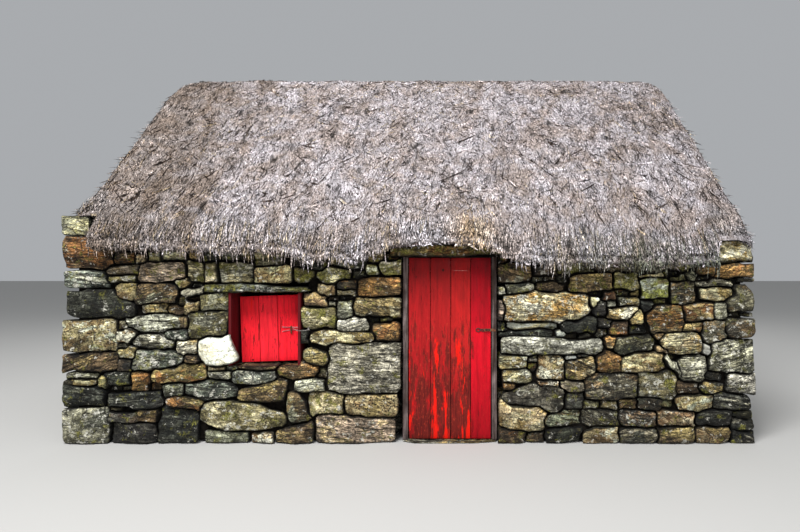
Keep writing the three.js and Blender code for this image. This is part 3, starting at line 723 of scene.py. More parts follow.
def ranged(tree, value, fromLow, fromHigh, toLow=0.0, toHigh=1.0):
    made = node(tree, "ShaderNodeMapRange", {
        "Value": value, "From Min": fromLow, "From Max": fromHigh, "To Min": toLow, "To Max": toHigh,
    })
    return made.outputs["Result"]


def mixed(tree, factor, a, b, kind="MIX"):
    made = node(tree, "ShaderNodeMix", {"Factor": factor}, data_type="RGBA", blend_type=kind)
    for socket, value in ((made.inputs[6], a), (made.inputs[7], b)):
        if isinstance(value, bpy.types.NodeSocket):
            tree.links.new(value, socket)
        else:
            socket.default_value = (*value[:3], 1.0)
    return made.outputs[2]


def times(tree, colour, value):
    # A colour made lighter or darker by a number
    return node(tree, "ShaderNodeVectorMath", {0: colour, "Scale": value}, operation="SCALE").outputs[0]


def bentPlace(tree, place, scale, detail, amounts):
    # A place that is pushed about by noise, so that the patterns on it have no straight lines.
    swirl = node(tree, "ShaderNodeTexNoise", {"Vector": place, "Scale": scale, "Detail": detail})
    return vectorNode(tree, "ADD", place, scaled(tree, swirl.outputs["Color"], amounts))[0]


# What lies on the stones, and how dark the dirt and painted shade in the joints between them are
stoneLooks = {
    "lichen": (0.72, 0.70, 0.60),
    "cracks": (0.014, 0.012, 0.009),
    "darkMoss": (0.024, 0.027, 0.006),
    "paleMoss": (0.34, 0.32, 0.06),
    "joints": 0.012,
}


def stoneGroup():
    # Patches of colour, broken faces, layers, lichen, pits, cracks and moss. A pattern's range picks how much
    # of it shows.
    group, into, out = newGroup("fieldStone", [
        ("Place", "NodeSocketVector", None),
        ("Base", "NodeSocketColor", (0.4, 0.3, 0.2, 1)),
        ("Second", "NodeSocketColor", (0.2, 0.15, 0.1, 1)),
        ("Third", "NodeSocketColor", (0.3, 0.3, 0.3, 1)),
        ("Contrast", "NodeSocketFloat", 1.0),
        ("Layers", "NodeSocketFloat", 0.5),
        ("Pits", "NodeSocketFloat", 0.3),
        ("Lichen", "NodeSocketFloat", 0.2),
        ("Moss", "NodeSocketFloat", 0.1),
        ("Open", "NodeSocketFloat", 1.0),
    ], [("Color", "NodeSocketColor"), ("Roughness", "NodeSocketFloat"), ("Height", "NodeSocketFloat")])
    place, layers, contrast = (into.outputs[name] for name in ("Place", "Layers", "Contrast"))
    bands = noiseValue(group, scaled(group, place, (0.12, 1.0, 0.3)), 46.0, 4.0, 0.65, 0.6)
    cloud = noiseValue(group, place, 21.0, 4.0, 0.7)
    grit = noiseValue(group, place, 85.0, 3.0, 0.75)
    # patches of three colours
    blotch = noiseValue(group, scaled(group, place, (0.8, 1.0, 1.0)), 6.0, 6.0, 0.72, 0.4)
    other = noiseValue(group, scaled(group, place, (0.7, 1.2, 1.0)), 4.6, 6.0, 0.72, 0.5)
    colour = mixed(group, ranged(group, blotch, 0.46, 0.54), into.outputs["Base"], into.outputs["Second"])
    colour = mixed(group, ranged(group, other, 0.525, 0.56), colour, into.outputs["Third"])
    # broken faces in two sizes, each tilted its own way, and of its own brightness: painted light and shade
    bent = bentPlace(group, place, 9.0, 3.0, (0.12, 0.07, 0.10))
    cells = scaled(group, bent, (0.5, 1.0, 0.8))
    tilts, chips = [], []
    for scale in (15.0, 42.0):
        faces = node(group, "ShaderNodeTexVoronoi", {"Vector": cells, "Scale": scale}).outputs
        local = vectorNode(group, "SUBTRACT", cells, faces["Position"])[0]
        lean = vectorNode(group, "SUBTRACT", faces["Color"], (0.5, 0.5, 0.5))[0]
        tilts.append(vectorNode(group, "DOT_PRODUCT", local, lean)["Value"])
        chips.append(node(group, "ShaderNodeSeparateColor", {0: faces["Color"]}).outputs[0])
    light = product(group, ranged(group, chips[0], 0.0, 1.0, 0.68, 1.3),
                    ranged(group, chips[1], 0.0, 1.0, 0.72, 1.25))
    streak = mathNode(group, "SUBTRACT", ranged(group, bands, 0.38, 0.60, 0.2, 1.85), 1.0)
    light = product(group, light, mathNode(group, "MULTIPLY_ADD", streak, layers, 1.0))
    light = product(group, light, ranged(group, cloud, 0.37, 0.63, 0.55, 1.5))
    light = product(group, light, ranged(group, grit, 0.38, 0.62, 0.5, 1.5))
    light = mathNode(group, "MULTIPLY_ADD", mathNode(group, "SUBTRACT", light, 1.0), contrast, 1.0)
    colour = times(group, colour, mathNode(group, "MAXIMUM", light, 0.05))
    # lichen in pale crusts with ragged rims
    crust = noiseValue(group, place, 15.0, 5.0, 0.75, 0.2)
    crust = ranged(group, mathNode(group, "MULTIPLY_ADD", into.outputs["Lichen"], 0.16, crust), 0.62, 0.66)
    pale = times(group, stoneLooks["lichen"], ranged(group, grit, 0.36, 0.64, 0.6, 1.3))
    colour = mixed(group, product(group, crust, 0.8), colour, pale)
    # pits, cracks between the broken faces, and thin dark lines along the bedding
    dots = node(group, "ShaderNodeTexVoronoi", {"Vector": place, "Scale": 46.0})
    some = node(group, "ShaderNodeSeparateColor", {0: dots.outputs["Color"]}).outputs[0]
    holes = ranged(group, dots.outputs["Distance"], 0.42, 0.28)
    holes = product(group, holes, into.outputs["Pits"])
    holes = product(group, holes, ranged(group, some, 0.35, 0.5), clamp=True)
    cracks = node(group, "ShaderNodeTexVoronoi", {"Vector": cells, "Scale": 11.0}, feature="DISTANCE_TO_EDGE")
    cracks = ranged(group, cracks.outputs["Distance"], 0.045, 0.01)
    cracks = product(group, cracks, ranged(group, cloud, 0.44, 0.54))
    beds = noiseValue(group, scaled(group, bent, (0.09, 1.0, 0.25)), 24.0, 4.0, 0.6, 0.3)
    beds = ranged(group, mathNode(group, "ABSOLUTE", mathNode(group, "SUBTRACT", beds, 0.5)), 0.024, 0.006)
    beds = product(group, beds, ranged(group, layers, 0.2, 0.8))
    dents = mathNode(group, "MAXIMUM", mathNode(group, "MAXIMUM", holes, cracks), beds)
    dents = product(group, dents, contrast)
    colour = mixed(group, product(group, dents, 0.88), colour, stoneLooks["cracks"])
    # moss
    moss = noiseValue(group, place, 10.0, 6.0, 0.72, 0.3)
    moss = ranged(group, mathNode(group, "MULTIPLY_ADD", into.outputs["Moss"], 0.15, moss), 0.59, 0.66)
    green = mixed(group, ranged(group, grit, 0.40, 0.62), stoneLooks["darkMoss"], stoneLooks["paleMoss"])
    colour = mixed(group, product(group, moss, 0.8), colour, green)
    # dirt and painted shade in the joints
    colour = times(group, colour, ranged(group, into.outputs["Open"], 0.0, 1.0, stoneLooks["joints"], 1.0))
    group.links.new(colour, out.inputs["Color"])
    group.links.new(ranged(group, cloud, 0.3, 0.7, 0.95, 0.72), out.inputs["Roughness"])
    height = product(group, cloud, 0.4)
    strata = product(group, layers, 0.5)
    for value, weight in ((bands, strata), (grit, 0.2), (tilts[0], 26.0), (tilts[1], 20.0), (dents, -0.4)):
        height = mathNode(group, "MULTIPLY_ADD", value, weight, height)
    group.links.new(height, out.inputs["Height"])
    return group


def grainGroup():
    # Wood grain that runs along Z: fine lines, broader bands, and splits
    group, into, out = newGroup("timberGrain", [
        ("Place", "NodeSocketVector", None),
        ("Fineness", "NodeSocketFloat", 1.0),
    ], [("Lines", "NodeSocketFloat"), ("Bands", "NodeSocketFloat"), ("Splits", "NodeSocketFloat")])
    place = times(group, into.outputs["Place"], into.outputs["Fineness"])
    lines = noiseValue(group, scaled(group, place, (1.0, 1.0, 0.035)), 150.0, 3.0, 0.6, 0.3)
    bands = noiseValue(group, scaled(group, place, (1.0, 1.0, 0.09)), 28.0, 3.0, 0.6)
    group.links.new(lines, out.inputs["Lines"])
    group.links.new(bands, out.inputs["Bands"])
    splits = noiseValue(group, scaled(group, place, (1.0, 1.0, 0.05)), 62.0, 2.0, 0.5)
    splits = ranged(group, mathNode(group, "ABSOLUTE", mathNode(group, "SUBTRACT", splits, 0.5)), 0.012, 0.0)
    where = ranged(group, noiseValue(group, place, 5.0, 2.0), 0.52, 0.6)
    group.links.new(product(group, splits, where), out.inputs["Splits"])
    return group


def newMaterial(name, rough=0.9, metal=0.0, specular=0.3):
    material = bpy.data.materials.new(name)
    material.use_nodes = True
    tree = material.node_tree
    shader = tree.nodes["Principled BSDF"]
    shader.inputs["Roughness"].default_value = rough
    shader.inputs["Metallic"].default_value = metal
    shader.inputs["Specular IOR Level"].default_value = specular
    return material, tree, shader


def addBump(tree, shader, height, strength, distance):
    bump = node(tree, "ShaderNodeBump", {"Height": height, "Strength": strength, "Distance": distance})
    tree.links.new(bump.outputs["Normal"], shader.inputs["Normal"])


def attribute(tree, name, output="Color"):
    return node(tree, "ShaderNodeAttribute", attribute_name=name).outputs[output]


def objectPlace(tree):
    return node(tree, "ShaderNodeTexCoord").outputs["Object"]


fieldStone = stoneGroup()
timberGrain = grainGroup()


def grainOf(tree, place, fineness=1.0):
    inputs = {"Place": place, "Fineness": fineness}
    return node(tree, "ShaderNodeGroup", inputs, node_tree=timberGrain).outputs


def stoneMaterial(name, moreMoss=0.0):
    material, tree, shader = newMaterial(name, 0.9, 0.0, 0.25)
    marks = node(tree, "ShaderNodeSeparateColor", {0: attribute(tree, "marks")})
    moss = mathNode(tree, "ADD", attribute(tree, "marks", "Alpha"), moreMoss)
    made = node(tree, "ShaderNodeGroup", {
        "Place": attribute(tree, "place", "Vector"), "Base": attribute(tree, "tone"),
        "Second": attribute(tree, "second"), "Third": attribute(tree, "third"),
        "Contrast": attribute(tree, "tone", "Alpha"), "Layers": marks.outputs[0], "Pits": marks.outputs[1],
        "Lichen": marks.outputs[2], "Moss": moss, "Open": attribute(tree, "open", "Fac"),
    }, node_tree=fieldStone)
    tree.links.new(made.outputs["Color"], shader.inputs["Base Color"])
    tree.links.new(made.outputs["Roughness"], shader.inputs["Roughness"])
    addBump(tree, shader, made.outputs["Height"], 1.0, 0.035)
    return material


def shadedEarthMaterial():
    material, tree, shader = newMaterial("shadedEarth", 1.0, 0.0, 0.1)
    lumps = noiseValue(tree, objectPlace(tree), 24.0, 4.0, 0.7)
    # nearly black: earth, darkened further as painted shade of the deep gaps between the stones
    colour = mixed(tree, ranged(tree, lumps, 0.35, 0.65), (0.003, 0.0025, 0.002), (0.016, 0.013, 0.010))
    tree.links.new(colour, shader.inputs["Base Color"])
    addBump(tree, shader, lumps, 0.8, 0.02)
    return material


wallStone = stoneMaterial("wallStone")
dampStone = stoneMaterial("dampStone", 0.25)
shadedEarth = shadedEarthMaterial()

# Walls


def levelTop(height):
    return lambda u: np.full(np.shape(u), height)


def gableTop(u):
    # A little under the roof's slope
    return house["ridge"] - house["slope"] * np.abs(u) - 0.04


def wallFace(out, distance, reach, seed, **given):
    # A face of a wall: which way it looks, how far out from the middle it is, less than 0 where it looks back
    # at the middle, and how far it reaches to both sides
    x, y = out
    return {
        "origin": (x * distance, y * distance, 0),
        "right": (-y, x, 0),
        "out": (x, y, 0),
        "span": (-reach, reach),
        "seed": seed,
        "bottom": 0.0,
        "top": levelTop(house["head"]),
        "lean": 0.0,
        "bareEnds": False,
        "openings": (),
        **given,
    }


def fromInside(rects):
    # Seen from inside, x runs the other way.
    return [(-right, -left, bottom, top) for left, right, bottom, top in rects]


endX, faceY, innerX, innerY = (house[key] for key in ("endX", "faceY", "innerX", "innerY"))
peak = {"bottom": house["head"], "top": gableTop}
leaning = {**peak, "lean": house["peakLean"]}
frontOpenings = [house["doorway"], house["window"]]
wallFaces = {
    "front": wallFace((0, -1), faceY, endX, 1, bareEnds=True, openings=frontOpenings),
    "back": wallFace((0, 1), faceY, endX, 21, bareEnds=True),
    "left": wallFace((-1, 0), endX, faceY, 31),
    "right": wallFace((1, 0), endX, faceY, 41),
    "leftPeak": wallFace((-1, 0), endX, faceY, 33, **leaning),
    "rightPeak": wallFace((1, 0), endX, faceY, 43, **leaning),
    "frontInside": wallFace((0, 1), -innerY, innerX, 51, openings=fromInside(frontOpenings)),
    "backInside": wallFace((0, -1), -innerY, innerX, 61),
    "leftInside": wallFace((1, 0), -innerX, innerY, 71),
    "rightInside": wallFace((-1, 0), -innerX, innerY, 81),
    "leftPeakInside": wallFace((1, 0), -innerX, faceY, 73, **peak),
    "rightPeakInside": wallFace((-1, 0), -innerX, faceY, 83, **peak),
}

# How finely stones are made: points round each, shares of the front, of its round edge, and of its sides
fine = {"around": 36, "face": (0.4, 0.75, 1.0), "rim": (0.55, 0.2, 0.0), "side": (0.35, 1.0)}
plain = {"around": 16, "face": (0.6, 1.0), "rim": (0.4, 0.0), "side": (1.0,)}
coarse = {"around": 12, "face": (1.0,), "rim": (0.0,), "side": (1.0,)}
slab = {
    "around": 76, "face": (0.2, 0.4, 0.6, 0.8, 1.0), "rim": (0.55, 0.2, 0.0),
    "side": (0.1, 0.3, 0.5, 0.75, 1.0),
}

# Stones that are laid by rule: lengths, and heights from thin to tall
outsideSizes = {"least": 0.14, "most": 0.66, "length": 0.33, "thin": 0.08, "tall": 0.26}
insideSizes = {"least": 0.18, "most": 0.72, "length": 0.38, "thin": 0.10, "tall": 0.30}
# How near an edge a stone still counts as standing at it, and how deep it is there
edgeReach = {"end": 0.05, "opening": 0.07}
edgeDepth = {"end": (0.26, 0.42), "opening": 0.3}

# Stretches of the gables that the end stones of the front and back take up
cornerRects = {"left": [], "right": []}


def deepenEnds(stones, face, isFront, rng):
    # Stones that reach the end of a wall are deep, because they are seen from the gable too.
    rects = stones["rects"]
    low, high = face["span"]
    near = edgeReach["end"]
    atEnd = (rects[:, 0] < low + near) | (rects[:, 1] > high - near)
    deep = rng.uniform(*edgeDepth["end"], len(rects))
    stones["depth"] = np.where(atEnd, deep, stones["depth"])
    for (left, right, bottom, top), reach in zip(rects[atEnd], deep[atEnd]):
        side = "left" if (left + right < 0) == isFront else "right"
        towardsPlus = (side == "left") == isFront
        spot = (faceY - reach, faceY + near) if towardsPlus else (-faceY - near, -faceY + reach)
        cornerRects[side].append((*spot, bottom, top))


def deepenBeside(stones, openings):
    # Stones beside an opening or under it are deep, because they line it.
    rects = stones["rects"]
    near = edgeReach["opening"]
    for left, right, bottom, top in openings:
        nextTo = (np.abs(rects[:, 0] - right) < near) | (np.abs(rects[:, 1] - left) < near)
        lines = nextTo & (rects[:, 3] > bottom) & (rects[:, 2] < top)
        lines |= (np.abs(rects[:, 3] - bottom) < near) & (rects[:, 0] < right) & (rects[:, 1] > left)
        stones["depth"] = np.where(lines, edgeDepth["opening"], stones["depth"])


# The front wall beyond what the list says
frontWall = {
    "seed": 3,
    # stones that fill the places between the listed ones: lengths and heights, and kinds
    "fillSizes": [
        (0.36, 0.16), (0.28, 0.14), (0.22, 0.12), (0.18, 0.10), (0.14, 0.08), (0.10, 0.08), (0.12, 0.06),
    ],
    "fillKinds": ("brown", "tan", "olive", "grey", "slate", "dark", "taupe"),
    # they lie deeper and are darker, painted shade of the gaps they fill, the lowest most: the least height
    # and how far it matters, then what each has and how much more the lowest have
    "fillHeight": (0.06, 0.08),
    "fillSunk": (0.02, 0.045),
    "fillPaintedShade": (0.72, -0.5),
    # left of here it is darker
    "darkerLeft": (-1.1, 0.94),
    # above this height, between these ends, it is paler, which makes up for the shadow of the eave
    "eaveShadow": {"from": 1.5, "ends": (-2.6, 2.6), "shade": 1.35, "damp": 0.12},
    # the stone that stands before the window's frame
    "lapping": {"depth": 0.1, "proud": 0.03, "shade": 1.34},
}


def listedStones():
    # Of each stone in the list: left, right, bottom, top, and the numbers of its kind, shape and turn
    rows = []
    for tone, listed in frontStones.items():
        for left, right, bottom, top, *rest in listed:
            shape, turn = (*rest, 0)[:2] if rest else ("block", 0)
            rows.append((left, right, bottom, top, toneNames.index(tone), shapeNames.index(shape), turn))
    rows = np.array(rows, float)
    rows[:, :4] /= 100
    return rows


def buildFront():
    rng = np.random.default_rng(frontWall["seed"])
    face = wallFaces["front"]
    window = house["window"]
    fixed = np.array([*frontOpenings, house["doorLintel"], house["windowLintel"]])
    measured = listedStones()
    filled = fillGaps(face, [*measured[:, :4], *fixed], frontWall["fillSizes"])
    known, count = len(measured), len(filled)
    rects = np.concatenate([measured[:, :4], filled])
    left, right, bottom, top = rects.T
    stones = stoneSet(rects, rng, fixed=fixed, limit=top)
    stones["tone"][:known] = measured[:, 4]
    stones["shape"][:known] = measured[:, 5]
    stones["turn"] = np.concatenate([measured[:, 6] + rng.normal(0, 1.5, known), rng.normal(0, 6, count)])
    stones["tone"][known:] = rng.choice([toneNames.index(name) for name in frontWall["fillKinds"]], count)
    # the smallest sink deeper and are painted darker, as shade in the gaps between the larger stones
    least, more = frontWall["fillHeight"]
    small = 1 - np.clip((np.diff(filled[:, 2:])[:, 0] - least) / more, 0, 1)
    (sunk, deeper), (shade, darker) = frontWall["fillSunk"], frontWall["fillPaintedShade"]
    stones["proud"][known:] -= sunk + deeper * small
    stones["shade"][known:] = shade + darker * small
    stones["shade"] *= np.where(right < frontWall["darkerLeft"][0], frontWall["darkerLeft"][1], 1)
    eave = frontWall["eaveShadow"]
    underEave = (bottom > eave["from"]) & (left > eave["ends"][0]) & (right < eave["ends"][1])
    stones["shade"] *= np.where(underEave, eave["shade"], 1)
    stones["damp"] = np.clip((top - eave["from"]) / 0.3, 0, 1) * eave["damp"]
    deepenEnds(stones, face, True, rng)
    deepenBeside(stones, frontOpenings)
    laps = (left < window[0]) & (right > window[0] + 0.05) & (bottom > window[2] - 0.02) & (top < window[3])
    stones["laps"] = laps
    for key, value in frontWall["lapping"].items():
        stones[key] = np.where(laps, value, stones[key])
    addStones("front_stones", [stoneShells(stones, face, fine, rng)], wallStone, (
        "front_wall_left", "front_wall_under_window", "front_wall_over_window", "front_wall_middle",
        "front_wall_right",
    ))


def packedShell(name, sizes, detail, fixed=(), ends=None, openings=(), grow=0.022):
    # A face that isn't in the photograph, filled with stones of the same kinds. With bare ends, ends says
    # whether it is the front.
    face = wallFaces[name]
    rng = np.random.default_rng(face["seed"])
    fixed = np.array(fixed, float).reshape(-1, 4)
    stones = stoneSet(packStones(face, fixed, rng, sizes), rng, fixed=fixed, grow=grow)
    if ends is not None:
        deepenEnds(stones, face, ends, rng)
    deepenBeside(stones, openings)
    return stoneShells(stones, face, detail, rng)


# How deep and how high each front corner stone stands in the peak beside it
cornerReach = {"left": (0.34, 0.35), "right": (0.42, 0.4)}
# How far the peaks' stones may grow, to fill the places beside the roof's slope
peakGrow = 0.09


def buildGable(side):
    outer = packedShell(side, outsideSizes, plain, cornerRects[side])
    inner = packedShell(side + "Inside", insideSizes, coarse)
    addStones(f"{side}_gable_stones", [outer, inner], wallStone, (f"{side}_gable_wall",))
    deep, tall = cornerReach[side]
    spot = (faceY - deep, faceY + 0.05) if side == "left" else (-faceY - 0.05, deep - faceY)
    stone = (*spot, house["head"], house["head"] + tall)
    outer = packedShell(side + "Peak", outsideSizes, plain, [stone], grow=peakGrow)
    inner = packedShell(side + "PeakInside", insideSizes, coarse, grow=peakGrow)
    addStones(f"{side}_peak_stones", [outer, inner], wallStone, (f"{side}_gable_peak",))


def buildInside():
    # The front wall's inner face, with the same openings
    openings = fromInside(frontOpenings)
    lintels = fromInside([house["doorLintel"], house["windowLintel"]])
    shell = packedShell("frontInside", insideSizes, coarse, [*openings, *lintels], None, openings)
    addStones("front_inside_stones", [shell], wallStone)


buildFront()
print("front wall built")
back = packedShell("back", outsideSizes, plain, ends=False)
addStones("back_stones", [back, packedShell("backInside", insideSizes, coarse)], wallStone, ("back_wall",))
buildGable("left")
buildGable("right")
buildInside()
print("other walls built")


# Lintels, threshold and corner stones. The sides of a bare one are seen.
dressedStones = {
    "doorLintel": {"rect": house["doorLintel"], "tone": "ochre", "depth": 0.6, "edge": 0.03, "seed": 8,
        "shade": 0.84},
    "windowLintel": {"rect": house["windowLintel"], "tone": "flint", "depth": 0.6, "edge": 0.02, "seed": 2,
        "shade": 1.05, "proud": 0.005, "damp": 0.5},
    "threshold": {"rect": (-0.066, 0.842, 0.0, 0.022), "tone": "grey", "depth": 0.42, "edge": 0.008,
        "seed": 3, "proud": -0.04},
    "left": {"rect": (-3.31, -3.04, 1.992, 2.178), "tone": "pale", "depth": 0.34, "edge": 0.012, "seed": 4,
        "bare": True},
    "underLeft": {"rect": (-3.29, -3.04, 1.84, 1.99), "tone": "dark", "depth": 0.34, "edge": 0.02, "seed": 5,
        "proud": -0.08},
    "right": {"rect": (2.93, 3.29, 1.742, 1.946), "tone": "cream", "depth": 0.34, "edge": 0.02, "seed": 7,
        "shade": 1.3, "bare": True},
}


def dressed(name):
    stone = {"proud": 0.0, "damp": 0.0, "shade": 1.0, "bare": False, **dressedStones[name]}
    rng = np.random.default_rng(60 + stone["seed"])
    everywhere = {"bottom": -9.0, "top": levelTop(9.0), "span": (-9.0, 9.0), "seed": 90 + stone["seed"]}
    face = {**wallFaces["front"], **everywhere}
    if stone["bare"]:
        face["openings"] = [stone["rect"]]
    given = {key: np.array([stone[key]], float) for key in ("depth", "proud", "edge", "damp", "shade")}
    stones = stoneSet([stone["rect"]], rng, shape=np.zeros(1, int), turn=np.zeros(1),
                      tone=np.array([toneNames.index(stone["tone"])]), grow=0.0, joint=0.0, **given)
    return stoneShells(stones, face, slab, rng)


addStones("door_lintel_stone", [dressed("doorLintel")], dampStone, ("door_lintel",))
addStones("window_lintel_stone", [dressed("windowLintel")], dampStone, ("window_lintel",))
addStones("threshold_stone", [dressed("threshold")], wallStone, ("door_threshold",))
addStones("corner_stones_left", [dressed("left"), dressed("underLeft")], wallStone, ("corner_stone_left",))
addStones("corner_stones_right", [dressed("right")], wallStone, ("corner_stone_right",))
print("dressed stones built")

# Bars, boards and poles


def barRing(a, b, r, cells):
    # Points round a rectangle, more of them near its corners, each drawn in to the radius about the inner
    # rectangle
    def side(h):
        middle = np.linspace(r - h, h - r, cells + 2)
        return np.concatenate([[-h, 0.4 * r - h], middle, [h - 0.4 * r]])
    along, up = side(a), side(b)
    square = np.concatenate([
        np.stack([along, 0 * along - b], 1), np.stack([0 * up + a, up], 1),
        np.stack([-along, 0 * along + b], 1), np.stack([0 * up - a, -up], 1),
    ])
    core = np.clip(square, [r - a, r - b], [a - r, b - r])
    facing = unit(square - core)
    return core + facing * r, facing


def bar(low, high, axis, rounding=0.004, cells=3, rough=0.001, seed=0, spans=0.12):
    # A rectangle with round corners is carried along one axis, drawn in at both ends, and closed to a point
    # there. Noise that is long in the direction of the grain moves its surface in and out.
    low, high = np.array(low, float), np.array(high, float)
    p, q = (axis + 1) % 3, (axis + 2) % 3
    a, b, length = (high - low)[[p, q, axis]] * (0.5, 0.5, 1)
    r = min(rounding, 0.95 * a, 0.95 * b)
    ring, facing = barRing(a, b, r, cells)
    drawn = min(r, 0.01)
    inner = np.linspace(drawn, length - drawn, max(3, int(length / spans)))
    place = np.concatenate([[0, drawn * 0.3], inner, [length - drawn * 0.3, length]])
    inset = np.concatenate([[drawn, drawn * 0.3], 0 * inner, [drawn * 0.3, drawn]])
    flat = ring[None] - facing[None] * inset[:, None, None]
    along = np.broadcast_to((length - place)[:, None, None], (*flat.shape[:2], 1))
    points = np.concatenate([flat, along], -1).reshape(-1, 3)
    points = np.concatenate([[[0, 0, length]], points, [[0, 0, 0]]])
    push = np.concatenate([[[0, 0]], np.tile(facing, (len(place), 1)), [[0, 0]]])
    wave = layeredNoise(points * np.array([1, 1, 0.12]), 14.0, 3, seed) * rough
    points[:, :2] += push * wave[:, None]
    world = np.zeros_like(points)
    world[:, [p, q, axis]] = points
    world += low * (np.arange(3) == axis) + (low + high) / 2 * (np.arange(3) != axis)
    worn = np.concatenate([[0], np.tile(1 - np.abs(facing).max(1), len(place)), [0]])
    worn = np.clip(worn * 5, 0, 1)
    bands, fans = shellFaces(len(ring), len(place))
    return {"points": world, "quads": bands, "triangles": fans, "place": points + seed * 3.1, "worn": worn}


def addBars(name, bars, material, body="cottage", nodes=(), move=None):
    points, quads, triangles = joined([(b["points"], b["quads"], b["triangles"]) for b in bars])
    if move is not None:
        points = move(points)
    vectors = {
        "place": np.concatenate([b["place"] for b in bars]),
        "worn": np.repeat(np.concatenate([b["worn"] for b in bars])[:, None], 3, 1),
    }
    return addPiece(toMesh(name, points, quads, triangles, None, vectors), material, body, nodes)


# Earth and rubble inside the front wall, behind the stones, nearly black as painted shade in the gaps: left,
# right, bottom, top
frontFilling = [
    (-3.2, -1.80, 0.02, 1.42), (-3.2, -2.02, 1.40, 1.80), (-1.80, -0.98, 0.02, 0.68),
    (-2.02, -0.24, 1.56, 1.80), (-0.98, -0.16, 0.02, 1.60), (0.93, 3.2, 0.02, 1.76), (1.02, 3.2, 1.7, 1.80),
]
fillBlocks = [((left, -2.2, bottom), (right, -1.8, top)) for left, right, bottom, top in frontFilling]
# the back wall and the two gables
fillBlocks += [
    ((-3.2, 1.8, 0.02), (3.2, 2.2, 1.80)),
    ((-3.2, -1.8, 0.02), (-2.81, 1.8, 1.82)),
    ((2.81, -1.8, 0.02), (3.2, 1.8, 1.82)),
]
# Inside the peaks it steps up: half width, bottom, top, and how far out and in it reaches
peakSteps = [(1.70, 1.80, 2.30, 3.10), (1.10, 2.28, 2.80, 3.04), (0.52, 2.78, 3.32, 2.98)]
for side in (-1, 1):
    for half, bottom, top, out in peakSteps:
        ends = sorted((side * 2.82, side * out))
        fillBlocks.append(((ends[0], -half, bottom), (ends[1], half, top)))
filling = [bar(low, high, 0, rounding=0.03, cells=4, rough=0.01, seed=k, spans=0.2)
           for k, (low, high) in enumerate(fillBlocks)]
addBars("wall_filling", filling, shadedEarth)
print("filling placed")

# Thatch

thatch = {
    # the top's profile: out from the ridge and above the wall head
    "top": [(0, 2.3), (0.17, 2.262), (0.34, 2.145), (0.9, 1.602), (1.5, 1.026), (2.05, 0.482), (2.25, 0.266),
            (2.39, 0.102), (2.462, -0.004), (2.48, -0.056)],
    # how far the front eave lies above or below it along the wall
    "eaveLine": [(-3.3, 0.09), (-2.6, 0.115), (-2.15, 0.08), (-1.7, 0.075), (-1.2, 0.06),
                 (-0.88, -0.015), (-0.72, 0.01), (-0.52, -0.03), (-0.3, 0.075), (0.03, 0.136),
                 (0.62, 0.138), (1.12, -0.02), (1.9, -0.062), (2.7, -0.062), (3.3, 0.0)],
    "vergeRidge": (3.13, 3.09),
    "vergeEaves": 3.225,
    # the arch over the door: middle, rise, half width
    "brow": (0.388, 0.072, 0.9),
    # it ends behind the corner stones: from where along x, and at what height of the top
    "notches": {-1: (2.96, 0.360), 1: (2.875, 0.125)},
    # how the ends are rounded off: width and fall, and how much more of both there is near the ridge
    "endWidth": (0.15, 0.19),
    "endFall": (0.095, 0.115),
    # unevenness: how fine and how high
    "wideLumps": (1.5, 0.018),
    "lumps": (5.0, 0.013),
    "ridges": (8.0, 0.012),
    "hollows": (14.0, 0.055),
    # how many straws there are in each piece
    "straws": {"front": (26500, 26500, 26500), "back": (15000,)},
    "fringe": {"front": 7600, "back": 1900},
    "verge": 4200,
    "twigs": 110,
}

# The straws that lie on the slope: the middle and spread of the length's logarithm, its limits, the half
# width, the share that lies any way, how high the straw and its tip are, how many tips are raised and how
# far, how many straws are dark, and how often each colour comes
slopeStraws = {
    "length": (-2.65, 0.55),
    "limits": (0.025, 0.32),
    "width": (0.0018, 0.0058),
    "stray": 0.2,
    "height": (0.0, 0.020),
    "tip": (-0.004, 0.022),
    "raised": (0.04, 0.03),
    "dark": (0.12, 0.14),
    "darkColour": (0.06, 0.042, 0.035),
    "colours": (0.36, 0.27, 0.17, 0.09, 0.05, 0.06),
}
# The straws that hang over the eave: the wisps among them hang lower
fringeStraws = {
    "length": (0.10, 0.42),
    "width": (0.0020, 0.0048),
    "hang": (-0.09, 0.045),
    "wisps": (0.12, 0.12),
    # tufts: how fine and how long
    "tufts": ((4.0, 0.04), (13.0, 0.035)),
    # over the door they end higher, except in one place
    "overDoor": {"from": -0.15, "to": 0.95, "lowest": 0.015},
    "overDoorRight": {"from": 0.46, "to": 0.9, "lowest": 0.070},
    "colours": (0.34, 0.28, 0.18, 0.08, 0.05, 0.07),
}
# The straws that stick out at the roof's ends, and the sticks on the slope
vergeForm = {"length": (0.05, 0.14), "width": (0.003, 0.006), "colours": (0.2, 0.28, 0.26, 0.14, 0.08, 0.04)}
twigForm = {
    "length": (0.22, 0.62),
    "width": (0.003, 0.007),
    "pale": (0.62, 0.55, 0.50),
    "dark": (0.10, 0.07, 0.055),
}
# Colours of the straw, from pale to nearly black, and a yellow one
strawColours = np.array([
    (0.84, 0.78, 0.795), (0.66, 0.60, 0.605), (0.48, 0.43, 0.425), (0.28, 0.24, 0.23), (0.09, 0.072, 0.064),
    (0.62, 0.52, 0.38),
])
# Where the straw is newer, at the front and the back: middle and half width along the eave, and what it
# changes of the colour
newStraw = {"middle": 0.62, "halfWidth": 0.30, "change": (0.12, -0.04, -0.32)}


def smoothCurve(points, samples=40):
    # The curve through the points whose slope at each is half the chord between its neighbours.
    points = np.array(points, float)
    p = np.concatenate([[2 * points[0] - points[1]], points, [2 * points[-1] - points[-2]]])
    t = np.linspace(0, 1, samples, endpoint=False)[:, None]
    parts = [
        (2 * b + (c - a) * t + (2 * a - 5 * b + 4 * c - d) * t ** 2 + (3 * b - a - 3 * c + d) * t ** 3) / 2
        for a, b, c, d in zip(p, p[1:], p[2:], p[3:])
    ]
    return np.concatenate([*parts, points[-1:]])


